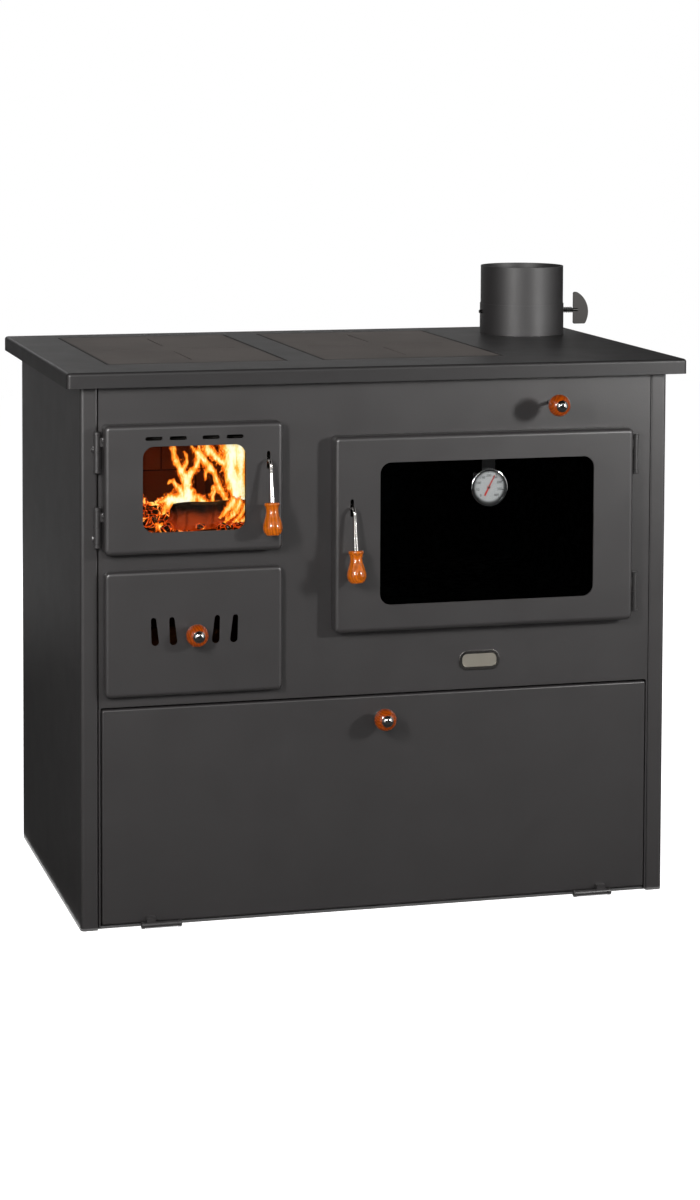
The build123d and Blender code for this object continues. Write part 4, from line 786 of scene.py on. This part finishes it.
def burningWood(name, middle, turn):
    wood = Finish(name, {"Specular IOR Level": 0.15, "Emission Strength": 1.0})
    place = wood.place(middle, turn)
    fibre = wood.noise(wood.place(middle, turn, (0.08, 1, 1)), 420.0, 5.0, 0.65)
    bands = wood.bands(wood.place(middle, turn, (1, 0.3, 0.3)), 6.0, 9.0)
    crack = wood.between(bands, 0.06, 0.0)
    burnt = wood.noise(place, 24.0, 5.0, 0.65)
    high = wood.along(wood.place(), "Z")
    char = wood.between(high + burnt * 0.05, 0.640, 0.662)
    glow = wood.between(high + burnt * 0.03, 0.600, 0.640, 1.0, 0.25)
    split = wood.blend(fibre, (0.22, 0.030, 0.008), (0.46, 0.075, 0.016))
    cracked = wood.blend(crack * 0.7, split, (0.05, 0.008, 0.003))
    alight = (1 - char) * glow * (0.4 + 0.6 * fibre)
    return wood.drive({
        "Base Color": wood.blend(char, cracked, (0.008, 0.006, 0.005)),
        "Roughness": 0.75 + fibre * 0.2,
        "Emission Color": wood.blend(alight, (0.0, 0.0, 0.0), (0.50, 0.045, 0.003)),
        "Normal": wood.bump(fibre * 0.7 + crack * -0.6, 0.8, 0.0018),
    })


def flameGlow():
    flame = Finish("flame", {
        "Base Color": (0.0, 0.0, 0.0),
        "Roughness": 1.0,
        "Specular IOR Level": 0.0,
        "Emission Strength": 1.25,
    })
    heat = flame.attribute("blaze")
    lick = flame.noise(flame.place(stretch=(1, 1, 0.5)), 80.0, 5.0, 0.62, 1.8)
    shred = flame.noise(flame.place(stretch=(1, 1, 0.35)), 240.0, 3.0, 0.6, 0.8)
    field = heat + ((lick - 0.5) * 1.9 + (shred - 0.5) * 0.9) * (1.28 - heat)
    colour = flame.ramp(
        field,
        (0.26, (0.42, 0.035, 0.0)),
        (0.46, (1.0, 0.17, 0.008)),
        (0.66, (1.0, 0.46, 0.05)),
        (0.84, (1.0, 0.82, 0.34)),
        (1.0, (1.0, 0.96, 0.74)),
    )
    return flame.drive({"Emission Color": colour, "Alpha": flame.between(field, 0.2, 0.5)})


# A point on the smooth curve through a stream's points, with its half width as the third value
def spineAt(spine, rise):
    spot = rise * (len(spine) - 1)
    index = min(int(spot), len(spine) - 2)
    part = spot - index
    around = [spine[max(0, min(len(spine) - 1, index + way))] for way in (-1, 0, 1, 2)]
    before, start, end, after = (Vector(point) for point in around)
    bend = 2 * before - 5 * start + 4 * end - after
    twist = 3 * (start - end) + after - before
    return 0.5 * (2 * start + (end - before) * part + bend * part**2 + twist * part**3)


# Each stream is hottest on its line and cools with the distance in half widths
def heatAt(streams, x, z):
    cool = 1.0
    for stream in streams:
        best = 0.0
        for spot in stream:
            reach = ((x - spot.x) ** 2 + (z - spot.y) ** 2) / spot.z**2
            if reach < flameHeat["furthest"]:
                core = min(1.0, flameHeat["least"] + spot.z / flameHeat["widthForMore"])
                best = max(best, core * exp(-flameHeat["fall"] * reach))
        cool *= 1 - best
    return 1 - cool


def spotOf(point):
    return round(point.co.x * 1000), round(point.co.z * 1000)


def makeFlames(name, depth, spines, finish):
    streams = []
    for spine in spines:
        count = flameField["spots"] * len(spine)
        streams.append([spineAt(spine, step / count) for step in range(count + 1)])
    field = flameField
    wide, high = field["right"] - field["left"], field["high"] - field["low"]
    columns, rows = round(wide / field["step"]), round(high / field["step"])
    shape = bmesh.new()
    bmesh.ops.create_grid(shape, x_segments=columns, y_segments=rows, size=0.5)
    heats = {}
    for point in shape.verts:
        x = field["left"] + wide * (point.co.x + 0.5)
        z = field["low"] + high * (point.co.y + 0.5)
        point.co = (x / 1000, depth / 1000, z / 1000)
        heats[spotOf(point)] = heatAt(streams, x, z)
    cold = [
        face for face in shape.faces
        if max(heats[spotOf(point)] for point in face.verts) < field["coldest"]
    ]
    bmesh.ops.delete(shape, geom=cold, context="FACES")
    bmesh.ops.solidify(shape, geom=shape.faces[:], thickness=field["thick"])
    layer = shape.verts.layers.float.new("blaze")
    for point in shape.verts:
        point[layer] = heats[spotOf(point)]
        across, up = field["swayGrain"]
        swirl = noise.noise(Vector((point.co.x * across, depth, point.co.z * up)))
        point.co.y += field["sway"] * swirl
    bmesh.ops.recalc_face_normals(shape, faces=shape.faces)
    addPiece("flames_" + name, shape, finish, "stove")


def makeCoals():
    shape = bmesh.new()
    low, high = Vector(coalBed["low"]), Vector(coalBed["high"])
    for step in range(coalBed["count"]):
        size = chance.uniform(coalBed["smallest"], coalBed["largest"])
        lump = bmesh.ops.create_icosphere(shape, subdivisions=2, radius=size)["verts"]
        seed = Vector((step * coalBed["seedStep"], 0, 0))
        for point in lump:
            dent = noise.noise(point.co * coalBed["grain"] + seed)
            point.co *= 1 + coalBed["rough"] * dent
        place = [chance.uniform(least, most) for least, most in zip(low, high)]
        flat = chance.uniform(coalBed["flattest"], coalBed["roundest"])
        squash = Matrix.Diagonal((1, 1, flat, 1))
        spin = chance.uniform(0, 2 * pi)
        turn = Matrix.Rotation(spin, 4, Vector((chance.random(), 1, chance.random())))
        bmesh.ops.transform(shape, matrix=Matrix.Translation(place) @ squash @ turn, verts=lump)
    bmesh.ops.recalc_face_normals(shape, faces=shape.faces)
    addPiece("coals", shape, emberGlow(), "stove")


def sliceAt(shape, place, way, cutAway):
    everything = shape.verts[:] + shape.edges[:] + shape.faces[:]
    cut = bmesh.ops.bisect_plane(
        shape, geom=everything, plane_co=place, plane_no=way, clear_outer=cutAway
    )
    return picked(cut["geom_cut"], bmesh.types.BMEdge)


def makeLog(name, middle, half, radius, spin, tilt, roll):
    shape = bmesh.new()
    bmesh.ops.create_cone(
        shape, cap_ends=True, segments=splitLog["sides"], depth=2 * half,
        radius1=radius, radius2=radius * splitLog["taper"],
    )
    for angle in splitLog["angles"]:
        way = Vector((cos(radians(angle)), sin(radians(angle)), 0))
        rim = sliceAt(shape, way * radius * splitLog["off"], way, True)
        bmesh.ops.holes_fill(shape, edges=rim, sides=0)
    for step in range(1, splitLog["slices"]):
        height = half * (2 * step / splitLog["slices"] - 1)
        sliceAt(shape, (0, 0, height), (0, 0, 1), False)
    bmesh.ops.triangulate(shape, faces=shape.faces)
    long = [edge for edge in shape.edges if edge.calc_length() > splitLog["longest"]]
    bmesh.ops.subdivide_edges(shape, edges=long, cuts=2)
    bmesh.ops.triangulate(shape, faces=shape.faces)
    for point in shape.verts:
        swell = noise.noise(point.co * Vector(splitLog["swellGrain"]))
        point.co += Vector((point.co.x, point.co.y, 0)) * splitLog["swell"] * swell
        point.co.z += splitLog["fuzz"] * noise.noise(point.co * splitLog["fuzzGrain"])
    bmesh.ops.recalc_face_normals(shape, faces=shape.faces)
    turn = (
        Matrix.Translation(middle)
        @ Matrix.Rotation(radians(spin), 4, "Z")
        @ Matrix.Rotation(radians(90 + tilt), 4, "Y")
        @ Matrix.Rotation(radians(roll), 4, "Z")
    )
    bmesh.ops.transform(shape, matrix=turn, verts=shape.verts)
    finish = burningWood(name + "Wood", middle, (0, 0, radians(-spin)))
    addPiece(name, shape, finish, "stove")


makeCoals()
for name, values in logs.items():
    makeLog(name, *values)
flame = flameGlow()
for name, (depth, spines) in flameLayers.items():
    makeFlames(name, depth, spines, flame)
print("fire")

# Ash left in the tray

ashBed = {
    "low": (-0.4205, -0.2915),
    "high": (-0.1845, 0.1035),
    "floor": 0.3857,
    "deep": 0.007,
    "cells": (60, 96),
    "broad": 16,
    "small": 60,
    "smallShare": 0.4,
    "level": 0.75,  # the level and the swing round it, as shares of the depth
    "swing": 0.9,
    "thinnest": 0.15,
}


def openEdges(shape):
    return [edge for edge in shape.edges if edge.is_boundary]


def makeAsh():
    ash = Finish("ash", {"Specular IOR Level": 0.1})
    place = ash.place()
    speck = ash.noise(place, 620.0, 5.0, 0.7)
    drift = ash.noise(place, 26.0, 4.0, 0.6)
    bits = ash.between(ash.cells(place, 210.0), 0.2, 0.08)
    # painted shade: the ash takes darker greys than ash has, for the shade inside the closed drawer
    pale = ash.blend(drift, (0.07, 0.067, 0.065), (0.13, 0.127, 0.122))
    ash.drive({
        "Base Color": ash.blend(bits * 0.9, pale, (0.02, 0.018, 0.017)),
        "Roughness": 0.9 + speck * 0.1,
        "Normal": ash.bump(speck * 0.6 + drift * 0.4, 0.9, 0.002),
    })
    shape = bmesh.new()
    columns, rows = ashBed["cells"]
    bmesh.ops.create_grid(shape, x_segments=columns, y_segments=rows, size=0.5)
    (lowX, lowY), (highX, highY) = ashBed["low"], ashBed["high"]
    bmesh.ops.scale(shape, vec=(highX - lowX, highY - lowY, 1), verts=shape.verts)
    for point in shape.verts:
        broad = noise.noise(point.co * ashBed["broad"])
        small = ashBed["smallShare"] * noise.noise(point.co * ashBed["small"])
        heap = ashBed["level"] + ashBed["swing"] * (broad + small)
        point.co.z = ashBed["deep"] * max(ashBed["thinnest"], heap)
    skirt = bmesh.ops.extrude_edge_only(shape, edges=openEdges(shape))["geom"]
    for point in picked(skirt, bmesh.types.BMVert):
        point.co.z = 0
    bmesh.ops.holes_fill(shape, edges=openEdges(shape), sides=0)
    middle = ((lowX + highX) / 2, (lowY + highY) / 2, ashBed["floor"])
    bmesh.ops.translate(shape, vec=middle, verts=shape.verts)
    bmesh.ops.recalc_face_normals(shape, faces=shape.faces)
    addPiece("ash", shape, ash, "ash_drawer")


makeAsh()
print("ash")

# Studio: pale floor, soft lamps, white surroundings, and the camera at the photograph's place

studio = {
    "floor": 14.0,
    "floorGlow": 0.93,
    "ambient": 0.08,
    "cards": [
        # name, tone, height, the edge on the floor beside the stove, then the standing edge
        ("leftCard", 0.06, 2.2, ((-0.48, -0.45), (-0.48, 1.60)), ((-2.6, -1.1), (-0.75, 2.8))),
        ("rightCard", 0.03, 2.2, ((0.48, -0.25), (0.48, 1.60)), ((2.4, -0.6), (0.95, 2.8))),
        ("backCard", 0.45, 2.2, ((-0.38, 0.40), (0.55, 0.40)), ((-0.40, 1.4), (0.95, 1.4))),
        ("frontCard", 0.05, 4.2, ((-2.5, -0.28), (2.5, -0.28)), ((-4.0, -5.6), (4.0, -5.6))),
    ],
    "cardFoot": 0.004,
    "roofCard": {"tone": 0.03, "height": 4.4, "size": 9.0},
    "lamps": [
        # name, place, aim, wide, high, watts, colour, seen in reflections
        ("keyBox", (-0.7, -4.4, 2.2), (0.1, -0.1, 0.8), 0.9, 0.9, 26, (1.0, 0.99, 0.985), True),
        ("leftBox", (-1.25, -1.75, 1.3), (-0.1, -0.3, 0.6), 0.2, 0.5, 29, (1.0, 0.985, 0.97), True),
        ("rightBox", (1.38, -1.80, 1.18), (0.1, -0.3, 0.6), 0.2, 0.3, 24, (1.0, 0.99, 0.98), True),
        ("topBox", (0.1, 0.5, 2.7), (0.1, 0.1, 0.8), 1.6, 0.8, 6, (1.0, 1.0, 1.0), False),
        ("backBox", (0.3, 2.6, 1.9), (0.0, 0.3, 0.6), 1.6, 0.8, 55, (1.0, 1.0, 1.0), False),
    ],
    "firelight": {
        "place": (-0.245, -0.140, 0.690),
        "watts": 0.9,
        "colour": (1.0, 0.42, 0.12),
        "size": 0.03,
    },
}
view = {
    "place": (-1.243, -4.685, 1.332),
    "lens": 87.7,
    "yaw": -15.17,
    "roll": 0.225,
    "pitch": 3.7,
    "axisBelow": 10.37,  # how far the photograph's middle lies below the horizon
}


def seenPlainly(finish):
    path = finish.add("ShaderNodeLightPath", out="Is Camera Ray")
    rays = path.socket.node.outputs
    mirror = Reading(finish, rays["Is Glossy Ray"])
    through = Reading(finish, rays["Is Transmission Ray"])
    return path.atLeast(mirror).atLeast(through)


def makeFloor():
    pale = {"Roughness": 0.9, "Specular IOR Level": 0.0, "Emission Strength": 1.0}
    ground = Finish("floor", pale)
    black, glow = (0.0, 0.0, 0.0), (studio["floorGlow"],) * 3
    grain = ground.noise(ground.place(), 40.0, 4.0, 0.6)
    ground.drive({
        "Base Color": ground.blend(grain, (0.80, 0.80, 0.80), (0.83, 0.83, 0.83)),
        "Emission Color": ground.blend(seenPlainly(ground), black, glow),
    })
    shape = bmesh.new()
    bmesh.ops.create_grid(shape, x_segments=2, y_segments=2, size=studio["floor"] / 2)
    meshObject("floor", shape, ground)


def hangCard(name, shape, tone):
    matt = Finish(name, {
        "Base Color": (tone, tone, tone), "Roughness": 1.0, "Specular IOR Level": 0.0
    })
    card = meshObject(name, shape, matt)
    for ray in ("camera", "diffuse", "transmission", "shadow"):
        setattr(card, "visible_" + ray, False)


# Cards round the stove, which only its reflections see: they keep its edges dark
def makeCards():
    foot = studio["cardFoot"]
    for name, tone, high, inner, outer in studio["cards"]:
        shape = bmesh.new()
        edge = shape.edges.new([shape.verts.new((*corner, foot)) for corner in inner])
        laid = bmesh.ops.extrude_edge_only(shape, edges=[edge])["geom"]
        for corner, point in zip(outer, picked(laid, bmesh.types.BMVert)):
            point.co = (*corner, foot)
        standing = picked(laid, bmesh.types.BMEdge)
        risen = bmesh.ops.extrude_edge_only(shape, edges=standing)["geom"]
        bmesh.ops.translate(shape, vec=(0, 0, high), verts=picked(risen, bmesh.types.BMVert))
        hangCard(name, shape, tone)
    roof = studio["roofCard"]
    shape = bmesh.new()
    bmesh.ops.create_grid(shape, x_segments=1, y_segments=1, size=roof["size"] / 2)
    bmesh.ops.translate(shape, vec=(0, 0, roof["height"]), verts=shape.verts)
    hangCard("roofCard", shape, roof["tone"])


def makeLamp(name, kind, place, watts, colour):
    data = bpy.data.lights.new(name, kind)
    data.energy = watts
    data.color = colour
    lamp = addObject(name, data)
    lamp.location = place
    return lamp


def makeLamps():
    for name, place, aim, wide, high, watts, colour, mirrored in studio["lamps"]:
        lamp = makeLamp(name, "AREA", place, watts, colour)
        lamp.data.shape = "RECTANGLE"
        lamp.data.size, lamp.data.size_y = wide, high
        toAim = Vector(aim) - Vector(place)
        lamp.rotation_euler = toAim.to_track_quat("-Z", "Y").to_euler()
        lamp.visible_glossy = mirrored
    fire = studio["firelight"]
    lamp = makeLamp("firelight", "POINT", fire["place"], fire["watts"], fire["colour"])
    lamp.data.shadow_soft_size = fire["size"]
    lamp.visible_transmission = False
    lamp.visible_glossy = False


def makeSurroundings():
    sky = Finish("surroundings", world=True)
    ambient = studio["ambient"]
    strength = ambient + seenPlainly(sky) * (1 - ambient)
    sky.drive({"Color": (1.0, 1.0, 1.0), "Strength": strength})
    bpy.context.scene.world = sky.data


def makeCamera():
    data = bpy.data.cameras.new("photoView")
    data.lens = view["lens"]
    below = tan(radians(view["axisBelow"] - view["pitch"]))
    data.shift_y = -below * view["lens"] / data.sensor_width
    camera = addObject("photoView", data)
    aim = (
        Matrix.Rotation(radians(view["yaw"]), 4, "Z")
        @ Matrix.Rotation(radians(90 - view["pitch"]), 4, "X")
        @ Matrix.Rotation(radians(view["roll"]), 4, "Z")
    )
    camera.matrix_world = Matrix.Translation(view["place"]) @ aim
    bpy.context.scene.camera = camera


makeFloor()
makeCards()
makeLamps()
makeSurroundings()
makeCamera()
bpy.context.scene.view_settings.view_transform = "Standard"
print("studio")
